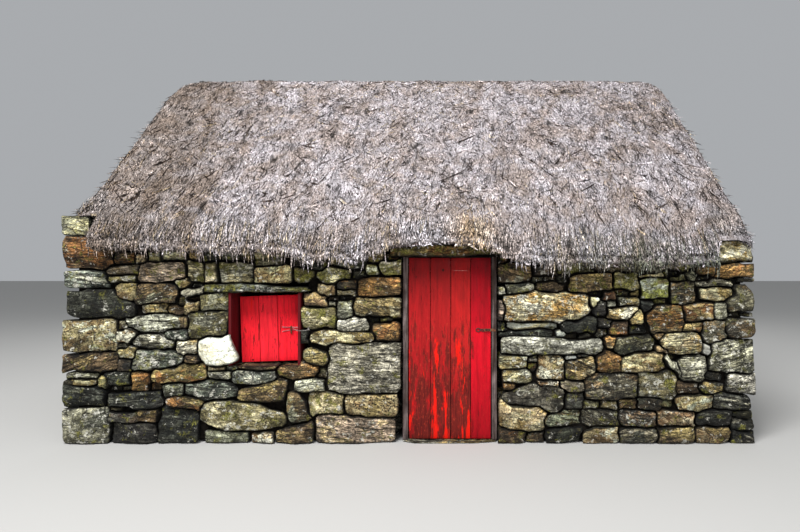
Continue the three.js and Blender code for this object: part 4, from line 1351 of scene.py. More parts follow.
topCurve = smoothCurve(thatch["top"])
topRun = np.concatenate([[0], np.cumsum(np.linalg.norm(np.diff(topCurve, axis=0), axis=1))])
noseRun = topRun[-1]
eaveCurve = smoothCurve(thatch["eaveLine"])


def raisedCosine(distance, halfWidth):
    # From 1 in the middle to 0 at the half width
    return (1 + np.cos(np.pi * np.minimum(1, np.abs(distance) / halfWidth))) / 2


def nearEave(out):
    # From 0 on the slope to 1 at the eave
    return np.clip((out - 1.8) / 0.6, 0, 1)


def thatchEnd(side, out):
    # How far the thatch reaches along x: less far at the ridge than at the eaves
    ridge = thatch["vergeRidge"][0 if side < 0 else 1]
    return ridge + (thatch["vergeEaves"] - ridge) * np.abs(out) / house["faceY"]


def eaveRise(x, face):
    # The front eave's own line, and gentle waves at the back
    if face < 0:
        return np.interp(x, eaveCurve[:, 0], eaveCurve[:, 1])
    return 0.024 * (np.sin(x / 0.61 + 0.9) + np.sin(x / 0.273) / 2)


def eaveRun(x, face):
    # How far down the slope the thatch reaches: to its nose, but beside the corner stones only to where its
    # top comes down to the stone.
    reach = np.full(np.shape(x), noseRun)
    for side, (begin, height) in thatch["notches"].items():
        falls = topCurve[:, 1] + eaveRise(side * 3.12, face) * nearEave(topCurve[:, 0])
        stop = topRun[np.argmax(falls < height)]
        share = np.clip((side * x - begin) / 0.03, 0, 1) * (face < 0)
        reach = reach * (1 - share) + stop * share
    return reach


def thatchPoint(x, run, face):
    # A point on the thatch: run is the way down the profile from the ridge, less than 0 over the ridge, and
    # past the eave straight down. The eave line lifts it, the roof's ends round it off, and noise makes it
    # uneven.
    signed = np.sign(run + 1e-9)
    reach = eaveRun(x, face)
    way = np.minimum(np.abs(run), reach)
    over = np.maximum(np.abs(run) - reach, 0)
    out = np.interp(way, topRun, topCurve[:, 0])
    height = np.interp(way, topRun, topCurve[:, 1])
    rise = eaveRise(x, face) * nearEave(out) * (signed > 0)
    fromEnd = np.minimum(thatchEnd(1, out) - x, thatchEnd(-1, out) + x)
    nearRidge = raisedCosine(out, 0.52)
    width, fall = (thatch[key][0] + thatch[key][1] * nearRidge for key in ("endWidth", "endFall"))
    share = np.clip(1 - fromEnd / width, 0, 1)
    fall = fall * (1 - np.sqrt(1 - share ** 2))
    lower = np.clip((out - 0.7) / 1.1, 0, 1)
    lump = sum(flatNoise(x, out * signed, thatch[key][0], seed) * thatch[key][1]
               for key, seed in (("wideLumps", 2), ("lumps", 3)))
    lump += flatNoise(x, out * 0.2, thatch["ridges"][0], 4) * thatch["ridges"][1] * lower
    hollow = np.maximum(flatNoise(x, out * 0.3, thatch["hollows"][0], 5) - 0.25, 0)
    lump -= hollow * thatch["hollows"][1] * lower
    lump = lump * np.clip((noseRun + 0.05 - way) / 0.25, 0.3, 1)
    return np.stack([x, face * out * signed, house["head"] + height + rise - fall + lump - over], -1)


def thatchFacing(x, run, face):
    # The way the thatch's top faces: square to short steps along the roof and down it
    step = 0.012
    alongX = thatchPoint(x + step, run, face) - thatchPoint(x - step, run, face)
    alongRun = thatchPoint(x, run + step, face) - thatchPoint(x, run - step, face)
    return unit(np.cross(alongX, alongRun) * -face)


def buildThatchBody(name, face, material, node):
    # The top surface from ridge to eave and the underside back again, side by side along the roof. Where a
    # corner stone stands in it, the underside rises over the stone.
    topCount, underCount = 64, 30
    share = np.linspace(0, 1, 190 if face < 0 else 100)[:, None]
    share = 0.5 - 0.175 * np.cos(np.pi * share) - (0.5 - share) * 0.65
    part = np.linspace(0, 1, topCount)[None]
    out = np.interp(part * noseRun, topRun, topCurve[:, 0])
    x = thatchEnd(1, out) * share - thatchEnd(-1, out) * (1 - share)
    top = thatchPoint(x, part * eaveRun(x, face), face)
    atEave = x[:, -1:]
    middle, rise, halfWidth = thatch["brow"]
    lift = rise * raisedCosine(atEave - middle, halfWidth) if face < 0 else 0 * atEave
    back = np.linspace(0, 1, underCount)[None]
    seat = house["faceY"] - lift / house["slope"]
    outUnder = seat * (1 - back)
    underX = thatchEnd(1, outUnder) * share - thatchEnd(-1, outUnder) * (1 - share)
    height = house["ridge"] - house["slope"] * outUnder + 0.008
    lipOut, lipHeight = seat + 0.10, (top[:, -1:, 2] + house["head"] + lift) / 2 - 0.02
    if face < 0:
        for side, (begin, level) in thatch["notches"].items():
            over = np.clip((side * x[:, -1:] - begin) / 0.02, 0, 1)
            stone = house["head"] + level - 0.027
            height = np.maximum(height, np.where(outUnder > 1.93, stone * over, 0))
            lipHeight = lipHeight * (1 - over) + (top[:, -1:, 2] * 0.4 + stone * 0.6) * over
            lipOut = lipOut * (1 - over) + np.abs(top[:, -1:, 1]) * over
    under = np.stack([underX, face * outUnder, height], -1)
    under[..., 2] += np.maximum(noise(under, 9.0, 7), -0.2) * 0.010 * (height < house["ridge"] - 0.1)
    lip = np.stack([atEave, face * lipOut, lipHeight], -1)
    rings = np.concatenate([top, lip, under], 1)
    rows, columns = rings.shape[:2]
    i = np.arange(rows - 1)[:, None] * columns
    j = np.arange(columns)[None]
    nextJ = (j + 1) % columns
    quads = np.stack([i + j, i + nextJ, i + columns + nextJ, i + columns + j], -1).reshape(-1, 4)
    # each end is a ladder between the top and the underside
    upper = np.arange(topCount)
    lower = (columns - 1 - np.linspace(0, columns - topCount - 2, topCount).round()).astype(int)
    ladder = np.stack([upper[:-1], lower[:-1], lower[1:], upper[1:]], 1)
    last = (rows - 1) * columns
    quads = np.concatenate([quads, ladder, (last + ladder)[:, ::-1]])
    if face > 0:
        quads = quads[:, ::-1]
    # painted shade where the light doesn't reach: the lip and the underside
    undersideShade = np.tile(np.concatenate([np.full(topCount, 1.0), [0.12], np.full(underCount, 0.10)]), rows)
    mesh = toMesh(name, rings.reshape(-1, 3), quads, [], None, {"undersideShade": np.repeat(undersideShade[:, None], 3, 1)})
    return addPiece(mesh, material, "cottage", (node,))


def spikes(spine, side, up, width, colour, ends):
    # Thin straws: a point, three-cornered rings between, and a point. The ring's corners stand to both sides
    # and above. The colour's brightness runs from the first end's to the last's.
    count, stations = spine.shape[:2]
    rings = stations - 2
    side, up = side[:, 1:-1], up[:, 1:-1]
    corners = np.stack([side, -side, up * 0.8], 2) * width[:, None, None, None]
    body = (spine[:, 1:-1, None] + corners).reshape(count, -1, 3)
    points = np.concatenate([spine[:, :1], body, spine[:, -1:]], 1)
    each = 2 + 3 * rings
    faces = [(0, 1, 3), (0, 3, 2), (0, 2, 1)]
    for r in range(rings - 1):
        a, b = 1 + 3 * r, 4 + 3 * r
        for m, n in ((0, 2), (2, 1), (1, 0)):
            faces += [(a + m, b + m, b + n), (a + m, b + n, a + n)]
    a, tip = 1 + 3 * (rings - 1), each - 1
    faces += [(tip, a + 2, a), (tip, a + 1, a + 2), (tip, a, a + 1)]
    triangles = (np.array(faces)[None] + (np.arange(count) * each)[:, None, None]).reshape(-1, 3)
    share = np.concatenate([[0], np.repeat(np.linspace(0, 1, rings + 2)[1:-1], 3), [1]])
    return points.reshape(-1, 3), triangles, shaded(colour, ends[0] * (1 - share) + ends[1] * share)


def shaded(colour, light):
    shades = colour[:, None] * light[None, :, None]
    return np.concatenate([shades, np.ones((*shades.shape[:2], 1))], -1).reshape(-1, 4)


def slivers(root, middle, tip, side, width, colour, ends):
    # The shortest straws are closed forms of four points: a root, a tip, and two corners beside the middle.
    # The side leans, so that a straw's two upper faces take the light differently.
    points = np.stack([root, middle + side * width, middle - side * width, tip], 1)
    turned = (np.cross(points[:, 1] - root, points[:, 2] - root) * (tip - root)).sum(1) > 0
    points[turned] = points[turned][:, [0, 2, 1, 3]]
    faces = np.array([(0, 1, 2), (3, 2, 1), (0, 3, 1), (0, 2, 3)])
    triangles = (faces[None] + (np.arange(len(root)) * 4)[:, None, None]).reshape(-1, 3)
    light = np.array([ends[0], 1.0, 1.0, ends[1]])
    return points.reshape(-1, 3), triangles, shaded(colour, light)


def strawColour(x, run, rng, weights):
    # One of the straw's colours for each, in patches along the roof, yellower where it is newer
    patch = flatNoise(x, run, 1.1, 12) + 0.9 * flatNoise(x, run * 0.6, 6.0, 13)
    patch += 0.6 * flatNoise(x, run * 0.5, 15.0, 17)
    pick = np.clip(rng.uniform(0, 1, len(x)) - 0.2 * patch, 0, 0.999)
    kind = np.searchsorted(np.cumsum(weights), pick)
    colour = strawColours[np.clip(kind, 0, len(strawColours) - 1)] * rng.uniform(0.5, 1.4, (len(x), 1))
    fresh = raisedCosine(x - newStraw["middle"], newStraw["halfWidth"])
    fresh = fresh * np.clip((run - noseRun + 0.75) / 0.5, 0, 1)
    return colour * (1 + fresh[:, None] * np.array(newStraw["change"]))


def layStraws(name, face, count, rng, material):
    # Short straws that lie on the slope, mostly down it, half sunk into one another
    x = rng.uniform(-1, 1, count)
    run = rng.uniform(-0.16, noseRun - 0.02, count)
    out = np.interp(np.abs(run), topRun, topCurve[:, 0])
    x = np.where(x > 0, thatchEnd(1, out), thatchEnd(-1, out)) * x
    run = np.where(run > eaveRun(x, face) - 0.05, run * 0.8, run)
    low = np.clip(run / noseRun, 0, 1)
    length = rng.lognormal(*slopeStraws["length"], count)
    length = np.clip(length, *slopeStraws["limits"]) * (1 + 0.5 * low)
    angle = rng.normal(0, 1, count) * (0.85 - 0.55 * low)
    stray = chance(rng, count, slopeStraws["stray"]) & (low < 0.8)
    angle = np.where(stray, rng.uniform(-1.5, 1.5, count), angle)
    least, more = slopeStraws["dark"]
    dark = chance(rng, count, least + more * np.clip(flatNoise(x, run * 0.5, 7.0, 18) * 2, 0, 1))
    height = np.where(dark, 0.002, rng.uniform(*slopeStraws["height"], count))
    share, raised = slopeStraws["raised"]
    tip = rng.uniform(*slopeStraws["tip"], count) + raised * chance(rng, count, share)
    width = rng.uniform(*slopeStraws["width"], count) * (1 if face < 0 else 1.8)
    t = np.array([0, 0.42, 1.0])
    runs = run[:, None] + t * (length * np.cos(angle))[:, None]
    xs = x[:, None] + t * (length * np.sin(angle))[:, None]
    reach = eaveRun(xs, face)
    # straws end before a corner stone, but a little past the eave
    before, past = np.where(x > 0, -0.06, -0.02), rng.uniform(-0.02, 0.07, count)
    reach = reach + np.where(reach < noseRun - 0.02, before[:, None], past[:, None])
    runs = np.minimum(runs, reach)
    xs = np.clip(xs, -thatchEnd(-1, out)[:, None] - 0.02, thatchEnd(1, out)[:, None] + 0.02)
    base = thatchPoint(xs, runs, face)
    facing = thatchFacing(xs[:, 1], runs[:, 1], face)[:, None]
    lift = np.stack([height - 0.014, height + 0.002, height + tip - 0.004], 1)
    spine = base + facing * lift[..., None]
    along = unit(spine[:, -1] - spine[:, 0])
    side = unit(np.cross(along, facing[:, 0]) + facing[:, 0] * rng.normal(0, 0.35, (count, 1)))
    colour = strawColour(x, run, rng, slopeStraws["colours"])
    colour = np.where(dark[:, None], np.array([slopeStraws["darkColour"]]), colour)
    made = slivers(spine[:, 0], spine[:, 1], spine[:, 2], side, width[:, None], colour, (0.7, 1.1))
    return addStraws(name, *made, material)


def addStraws(name, points, triangles, shades, material):
    print(f"{name}: {len(triangles)} triangles")
    mesh = toMesh(name, points, [], triangles, {"straw": shades})
    mesh.shade_flat()
    return addPiece(mesh, material, "cottage")


def hangFringe(name, face, count, rng, material):
    # Longer straws that leave the slope just above the eave, bend over it and end a little below
    x = rng.uniform(-3.2, 3.2, count)
    x = np.where(chance(rng, count, 0.3), x + 0.05 * np.sin(x * 23), x)
    wisps, lower = fringeStraws["wisps"]
    wisp = chance(rng, count, wisps)
    end = rng.uniform(*fringeStraws["hang"], count) + np.where(wisp, rng.uniform(0, lower, count), 0)
    tufts = sum(longer * flatNoise(x, 0 * x, scale, seed)
                for seed, (scale, longer) in enumerate(fringeStraws["tufts"], 15))
    door, right = fringeStraws["overDoor"], fringeStraws["overDoorRight"]
    overDoor = (x > door["from"]) & (x < door["to"]) & (face < 0)
    most = np.where((x > right["from"]) & (x < right["to"]), right["lowest"], door["lowest"])
    end = np.where(overDoor, np.minimum(end + tufts * 0.5, most), end + tufts)
    reach = eaveRun(x, face)
    notched = reach < noseRun - 0.02
    end = np.where(notched, np.minimum(end, np.where(x > 0, -0.03, 0.015)), end)
    length = rng.uniform(*fringeStraws["length"], count)
    t = np.array([0, 0.45, 0.8, 1.0])
    runs = reach[:, None] + end[:, None] - (1 - t) * length[:, None]
    xs = x[:, None] + (t - 0.7) * (length * rng.normal(0, 0.14, count))[:, None]
    base = thatchPoint(xs, runs, face)
    over = np.clip((runs - reach[:, None] + 0.08) / 0.1, 0, 1)[..., None]
    facing = thatchFacing(xs, np.minimum(runs, reach[:, None] - 0.03), face)
    facing = unit(facing * (1 - over) + np.array([0, face, 0.0]) * over)
    sunk = chance(rng, count, 0.3)
    deep = np.where(sunk, rng.uniform(-0.05, -0.01, count), rng.uniform(-0.01, 0.016, count))[:, None]
    spine = base + facing * (deep + np.array([-0.012, 0.006, 0.004, -0.004]))[..., None]
    side = unit(np.cross(unit(np.gradient(spine, axis=1)), facing))
    colour = strawColour(x, reach - 0.05, rng, fringeStraws["colours"])
    # painted shade: straws sunk deeper into the fringe are darker
    colour = colour * (1 + 6 * np.minimum(deep, 0))
    # the lowest along the right half are darker, painted shade under the eave, and greener with damp
    damp = np.clip((end + 0.05) / 0.08, 0, 1) * np.clip((x - 1.1) / 0.7 + flatNoise(x, 0 * x, 3.0, 19), 0, 1)
    colour = colour * (1 - damp[:, None] * np.array([0.72, 0.68, 0.76]))
    made = spikes(spine, side, facing, rng.uniform(*fringeStraws["width"], count), colour, (0.8, 1.0))
    return addStraws(name, *made, material)


def vergeStraws(name, count, rng, material):
    # Straws that stick out a little at the roof's two ends, level or falling
    side = rng.choice([-1, 1], count)
    face = rng.choice([-1, 1], count)
    run = rng.uniform(0, noseRun, count)
    out = np.interp(run, topRun, topCurve[:, 0])
    end = np.where(side > 0, thatchEnd(1, out), thatchEnd(-1, out))
    x = side * (end - rng.uniform(0, 0.12, count))
    reach = np.where(face < 0, eaveRun(x, -1), eaveRun(x, 1))
    run = np.minimum(run, reach - np.where(reach < noseRun - 0.02, 0.16, 0.03))
    start = np.where((face < 0)[:, None], thatchPoint(x, run, -1), thatchPoint(x, run, 1))
    thick = np.maximum(start[:, 2] - (house["ridge"] - house["slope"] * np.abs(start[:, 1])), 0.02)
    start[:, 2] -= rng.uniform(0.0, 1, count) * thick * 0.9
    way = np.stack([side * rng.uniform(0.3, 1, count), face * rng.uniform(0.1, 1.1, count),
                    rng.uniform(-1.1, 0.0, count)], -1)
    way = unit(way)
    length = rng.uniform(*vergeForm["length"], count)
    tip = start + way * length[:, None]
    limit = thatch["vergeEaves"] + 0.05
    tip[:, 0] = np.clip(tip[:, 0], -limit, limit)
    across = unit(np.cross(way, rng.normal(0, 1, (count, 3))))
    middle = start * 0.6 + tip * 0.4
    middle[:, 2] += 0.004
    colour = strawColour(x, run, rng, vergeForm["colours"]) * 0.8
    width = rng.uniform(*vergeForm["width"], (count, 1))
    made = slivers(start, middle, tip, across, width, colour, (0.6, 1.0))
    return addStraws(name, *made, material)


def layTwigs(name, count, rng, material):
    # Sticks pressed against the straw, mostly down the slope
    face = np.where(chance(rng, count, 0.7), -1, 1)
    x = rng.uniform(-2.7, 2.7, count)
    run = rng.uniform(0.2, noseRun - 0.9, count)
    length = rng.uniform(*twigForm["length"], count)
    angle = rng.normal(0.25, 0.5, count)
    t = np.linspace(0, 1, 5)
    bend = rng.normal(0, 0.02, count)[:, None] * np.sin(np.pi * t)
    runs = run[:, None] + t * (length * np.cos(angle))[:, None]
    xs = x[:, None] + t * (length * np.sin(angle))[:, None] + bend
    pick = (face < 0)[:, None, None]
    base = np.where(pick, thatchPoint(xs, runs, -1), thatchPoint(xs, runs, 1))
    facing = np.where(pick, thatchFacing(xs, runs, -1), thatchFacing(xs, runs, 1))
    spine = base + facing * 0.022
    side = unit(np.cross(np.gradient(spine, axis=1), facing))
    colour = np.where(chance(rng, (count, 1), 0.4), [twigForm["pale"]], [twigForm["dark"]])
    colour = colour * rng.uniform(0.6, 1.5, (count, 1))
    made = spikes(spine, side, facing, rng.uniform(*twigForm["width"], count), colour, (1.0, 1.0))
    return addStraws(name, *made, material)


def weatheringAndShadeGroup():
    # What age does to the straw, and painted shade: paler and browner patches, painted shade in dark hollows,
    # brown at the left end, and darker towards the eave
    group, into, out = newGroup("thatchWeatheringAndShade", [
        ("Place", "NodeSocketVector", None),
        ("Color", "NodeSocketColor", (0.5, 0.5, 0.5, 1)),
    ], [("Color", "NodeSocketColor")])
    place, colour = into.outputs["Place"], into.outputs["Color"]
    wide = noiseValue(group, scaled(group, place, (1.0, 0.8, 0.8)), 2.6, 7.0, 0.72, 0.6)
    near = noiseValue(group, scaled(group, place, (1.0, 0.6, 0.6)), 8.0, 5.0, 0.7, 0.4)
    tint = mixed(group, ranged(group, wide, 0.42, 0.57), (0.87, 0.80, 0.735), (1.15, 1.17, 1.22))
    colour = mixed(group, 1.0, colour, tint, "MULTIPLY")
    colour = times(group, colour, ranged(group, near, 0.38, 0.60, 0.74, 1.2))
    # painted shade: dark hollows
    holes = noiseValue(group, scaled(group, place, (1.5, 0.5, 0.5)), 11.0, 4.0, 0.6, 0.3)
    colour = times(group, colour, ranged(group, holes, 0.58, 0.66, 1.0, 0.28))
    spots = node(group, "ShaderNodeSeparateXYZ", {0: place}).outputs
    ragged = mathNode(group, "MULTIPLY_ADD", wide, 1.6, -0.8)
    left = mathNode(group, "ADD", spots[0], ragged)
    brown = ranged(group, left, -1.5, -2.6, 0.0, 1.0)
    colour = mixed(group, brown, colour, (0.64, 0.60, 0.54), "MULTIPLY")
    colour = times(group, colour, ranged(group, left, 1.5, 3.2, 1.0, 0.9))
    # darker towards the eave
    colour = times(group, colour, ranged(group, spots[2], 1.75, 2.35, 0.88, 1.0))
    group.links.new(colour, out.inputs["Color"])
    return group


weatheringAndShade = weatheringAndShadeGroup()


def weatheredAndShaded(tree, place, colour):
    return node(tree, "ShaderNodeGroup", {"Place": place, "Color": colour}, node_tree=weatheringAndShade).outputs[0]


def strawMaterial():
    material, tree, shader = newMaterial("straw", 0.85, 0.0, 0.2)
    place = objectPlace(tree)
    fleck = noiseValue(tree, scaled(tree, place, (1.0, 0.5, 0.5)), 105.0, 3.0, 0.75)
    colour = times(tree, attribute(tree, "straw"), ranged(tree, fleck, 0.39, 0.61, 0.12, 2.0))
    colour = weatheredAndShaded(tree, place, colour)
    # painted shade: dark specks where one sees between the straws
    gapShade = noiseValue(tree, scaled(tree, place, (1.2, 0.55, 0.55)), 72.0, 2.0, 0.6, 0.3)
    colour = times(tree, colour, ranged(tree, gapShade, 0.43, 0.485, 0.05, 1.0))
    tree.links.new(colour, shader.inputs["Base Color"])
    tree.links.new(ranged(tree, fleck, 0.3, 0.7, 0.92, 0.7), shader.inputs["Roughness"])
    return material


def oldThatchMaterial():
    material, tree, shader = newMaterial("oldThatch", 0.95, 0.0, 0.15)
    place = objectPlace(tree)
    fibres = noiseValue(tree, scaled(tree, place, (1.0, 0.2, 0.2)), 125.0, 3.0, 0.7, 0.5)
    bent = bentPlace(tree, place, 14.0, 2.0, (0.2, 0.2, 0.2))
    crossed = noiseValue(tree, scaled(tree, bent, (0.3, 1.0, 1.0)), 90.0, 3.0, 0.7, 0.3)
    both = mathNode(tree, "MULTIPLY_ADD", crossed, 0.5, product(tree, fibres, 0.5))
    colour = mixed(tree, ranged(tree, both, 0.40, 0.50), (0.04, 0.032, 0.028), (0.42, 0.375, 0.37))
    colour = mixed(tree, ranged(tree, both, 0.51, 0.60), colour, (0.82, 0.765, 0.775))
    # the lip's and the underside's painted shade
    colour = weatheredAndShaded(tree, place, times(tree, colour, attribute(tree, "undersideShade", "Fac")))
    tree.links.new(colour, shader.inputs["Base Color"])
    addBump(tree, shader, both, 1.0, 0.03)
    return material


straw = strawMaterial()
oldThatch = oldThatchMaterial()
buildThatchBody("thatch_front_body", -1, oldThatch, "thatch_front")
buildThatchBody("thatch_back_body", 1, oldThatch, "thatch_back")
strawRng = np.random.default_rng(71)
for where, face in (("front", -1), ("back", 1)):
    for k, count in enumerate(thatch["straws"][where]):
        layStraws(f"straws_{where}_{k + 1}", face, count, strawRng, straw)
for where, face in (("front", -1), ("back", 1)):
    hangFringe(f"fringe_{where}", face, thatch["fringe"][where], strawRng, straw)
vergeStraws("verge_straws", thatch["verge"], strawRng, straw)
layTwigs("roof_twigs", thatch["twigs"], strawRng, straw)
print("thatch laid")

# Wood, paint and iron


def spot(tree, place, x, z, wide, tall):
    # 1 inside an ellipse on the front, 0 outside it
    moved = vectorNode(tree, "SUBTRACT", place, (x, 0, z))[0]
    away = vectorNode(tree, "LENGTH", scaled(tree, moved, (1 / wide, 0, 1 / tall)))["Value"]
    return ranged(tree, away, 1.15, 0.85)


# Knot holes, cracks and marks on the doors: x, z, half width, half height
darkMarks = [
    (0.3235, 1.66, 0.011, 0.013),
    (0.061, 1.594, 0.004, 0.014),
    (-1.558, 0.771, 0.011, 0.008),
    (-1.402, 0.905, 0.0016, 0.15),
]
paleMarks = [(0.489, 1.655, 0.075, 0.0008)]
# What shows where the red paint is worn, flecked, rubbed bare or marked
paintLooks = {
    "darkWorn": (0.022, 0.005, 0.004),
    "paleWorn": (0.130, 0.015, 0.010),
    "underCoat": (0.80, 0.008, 0.002),
    "flecks": (0.55, 0.06, 0.025),
    "bareEdges": (0.055, 0.02, 0.016),
    "darkMarks": (0.012, 0.005, 0.004),
    "paleMarks": (0.70, 0.42, 0.38),
}


def paintMaterial():
    # Old paint: streaks down the grain, patches worn to maroon, flecks, splits, and bare edges
    material, tree, shader = newMaterial("redPaint", 0.7, 0.0, 0.12)
    place, wear = attribute(tree, "place", "Vector"), attribute(tree, "wear", "Fac")
    grain = grainOf(tree, place)
    patches = noiseValue(tree, scaled(tree, place, (1.0, 1.0, 0.16)), 17.0, 5.0, 0.74, 0.3)
    colour = attribute(tree, "tone")
    colour = times(tree, colour, ranged(tree, patches, 0.35, 0.65, 0.8, 1.18))
    streaks = noiseValue(tree, scaled(tree, place, (1.0, 1.0, 0.05)), 34.0, 3.0, 0.6)
    colour = times(tree, colour, ranged(tree, streaks, 0.3, 0.52, 0.72, 1.0))
    colour = times(tree, colour, ranged(tree, grain["Lines"], 0.32, 0.6, 0.82, 1.06))
    worn = ranged(tree, mathNode(tree, "MULTIPLY_ADD", wear, 0.24, patches), 0.64, 0.71)
    maroon = ranged(tree, grain["Lines"], 0.36, 0.62)
    maroon = mixed(tree, maroon, paintLooks["darkWorn"], paintLooks["paleWorn"])
    colour = mixed(tree, product(tree, worn, 0.82), colour, maroon)
    # orange-red where the top coat is gone
    under = noiseValue(tree, scaled(tree, place, (1.0, 1.0, 0.14)), 14.0, 4.0, 0.7, 0.2)
    under = ranged(tree, mathNode(tree, "MULTIPLY_ADD", wear, 0.16, under), 0.69, 0.73)
    colour = mixed(tree, product(tree, under, 0.85), colour, paintLooks["underCoat"])
    fleck = noiseValue(tree, scaled(tree, place, (1.0, 1.0, 0.4)), 70.0, 3.0, 0.7)
    fleck = product(tree, ranged(tree, fleck, 0.58, 0.66), ranged(tree, wear, 0.0, 0.6))
    colour = mixed(tree, product(tree, fleck, 0.5), colour, paintLooks["flecks"])
    bare = product(tree, attribute(tree, "worn", "Fac"), ranged(tree, patches, 0.4, 0.6))
    colour = mixed(tree, product(tree, bare, 0.7), colour, paintLooks["bareEdges"])
    marks = grain["Splits"]
    on = objectPlace(tree)
    for x, z, wide, tall in darkMarks:
        marks = mathNode(tree, "MAXIMUM", marks, spot(tree, on, x, z, wide, tall))
    colour = mixed(tree, product(tree, marks, 0.93), colour, paintLooks["darkMarks"])
    for x, z, wide, tall in paleMarks:
        colour = mixed(tree, spot(tree, on, x, z, wide, tall), colour, paintLooks["paleMarks"])
    tree.links.new(colour, shader.inputs["Base Color"])
    tree.links.new(ranged(tree, patches, 0.35, 0.7, 0.5, 0.85), shader.inputs["Roughness"])
    height = mathNode(tree, "MULTIPLY_ADD", worn, -0.25, grain["Lines"])
    height = mathNode(tree, "MULTIPLY_ADD", marks, -1.0, height)
    addBump(tree, shader, height, 0.5, 0.003)
    return material


def woodMaterial(name, dark, pale, place=None):
    # Bare weathered wood; place gives the grain's direction, along z
    material, tree, shader = newMaterial(name, 0.85, 0.0, 0.2)
    place = attribute(tree, "place", "Vector") if place is None else scaled(tree, objectPlace(tree), place)
    grain = grainOf(tree, place)
    blotch = noiseValue(tree, place, 9.0, 4.0, 0.65)
    colour = mixed(tree, ranged(tree, grain["Bands"], 0.36, 0.64), dark, pale)
    colour = times(tree, colour, ranged(tree, grain["Lines"], 0.34, 0.62, 0.6, 1.25))
    colour = times(tree, colour, ranged(tree, blotch, 0.36, 0.62, 0.6, 1.2))
    colour = mixed(tree, product(tree, grain["Splits"], 0.9), colour, (0.01, 0.008, 0.007))
    tree.links.new(colour, shader.inputs["Base Color"])
    height = mathNode(tree, "MULTIPLY_ADD", grain["Splits"], -1.0, grain["Lines"])
    addBump(tree, shader, height, 0.7, 0.004)
    return material


def ironMaterial(name, dark, pale, metal, rough):
    # Two colours in patches, with a crust that makes both uneven
    material, tree, shader = newMaterial(name, rough, metal, 0.3)
    place = objectPlace(tree)
    crust = noiseValue(tree, place, 70.0, 4.0, 0.7)
    patch = noiseValue(tree, place, 22.0, 4.0, 0.6)
    colour = mixed(tree, ranged(tree, patch, 0.4, 0.6), dark, pale)
    colour = times(tree, colour, ranged(tree, crust, 0.35, 0.65, 0.55, 1.35))
    tree.links.new(colour, shader.inputs["Base Color"])
    tree.links.new(ranged(tree, crust, 0.35, 0.65, rough - 0.1, rough + 0.1), shader.inputs["Roughness"])
    addBump(tree, shader, crust, 0.6, 0.002)
    return material


redPaint = paintMaterial()
postWood = woodMaterial("postWood", (0.038, 0.022, 0.017), (0.165, 0.128, 0.122))
barkWood = woodMaterial("barkWood", (0.05, 0.032, 0.022), (0.15, 0.105, 0.075))
ledgeWood = woodMaterial("ledgeWood", (0.06, 0.04, 0.03), (0.17, 0.12, 0.09), (0.035, 1.0, 28.0))
stickWood = woodMaterial("stickWood", (0.20, 0.15, 0.115), (0.52, 0.43, 0.37), (1.0, 1.0, 1.0))
roofWood = woodMaterial("roofWood", (0.05, 0.034, 0.024), (0.14, 0.10, 0.07), (1.0, 0.2, 0.2))
rustyIron = ironMaterial("rustyIron", (0.035, 0.022, 0.018), (0.22, 0.085, 0.04), 0.25, 0.75)
darkIron = ironMaterial("darkIron", (0.020, 0.008, 0.008), (0.10, 0.022, 0.018), 0.0, 0.7)
paintedIron = ironMaterial("paintedIron", (0.42, 0.05, 0.06), (0.70, 0.20, 0.21), 0.0, 0.55)
paleWire = ironMaterial("paleWire", (0.30, 0.27, 0.25), (0.55, 0.52, 0.49), 0.6, 0.5)

# Painted shade darkens the door's top, dirt its bottom, its last board most of all: heights and shares
doorShadeAndDirt = ([0.0, 0.25, 0.7, 1.1, 1.35, 1.5, 1.8], [0.66, 0.80, 1.0, 1.0, 0.86, 0.70, 0.42])
lastBoardShadeAndDirt = ([0.0, 0.25, 0.7, 1.05, 1.13, 1.5, 1.8], [0.48, 0.62, 0.92, 1.0, 0.70, 0.48, 0.32])
# Each board's paint, and how worn it is
doorPaint = {
    "door_board_1": {"tone": (0.40, 0.009, 0.011), "wear": 0.8, "fade": doorShadeAndDirt},
    "door_board_2": {"tone": (0.39, 0.010, 0.011), "wear": 0.9, "fade": doorShadeAndDirt},
    "door_board_3": {"tone": (0.48, 0.012, 0.012), "wear": 0.9, "fade": doorShadeAndDirt},
    "door_board_4": {"tone": (0.60, 0.003, 0.014), "wear": 0.25, "fade": lastBoardShadeAndDirt},
}
# How much more the door's lower half is worn: heights and shares
doorWear = ([0.0, 0.4, 0.8, 1.1, 1.3, 1.8], [1.2, 1.1, 0.9, 0.55, 0.1, 0.0])


def paintedPoints(mesh, tone, wear, fade=None, low=None):
    # Gives a mesh its paint's colour and wear, both changing with height where curves are given.
    count = len(mesh.vertices)
    points = np.zeros(count * 3, np.float32)
    mesh.vertices.foreach_get("co", points)
    height = points.reshape(-1, 3)[:, 2]
    # painted shade at the top and dirt at the bottom, as a curve over height
    light = np.interp(height, *fade) if fade else np.ones(count)
    worn = np.interp(height, *low) * wear if low else np.full(count, wear)
    layer = mesh.attributes.new("tone", "FLOAT_COLOR", "POINT")
    colours = np.concatenate([np.array(tone) * light[:, None], np.ones((count, 1))], 1)
    layer.data.foreach_set("color", colours.astype(np.float32).ravel())
    layer = mesh.attributes.new("wear", "FLOAT", "POINT")
    layer.data.foreach_set("value", worn.astype(np.float32))


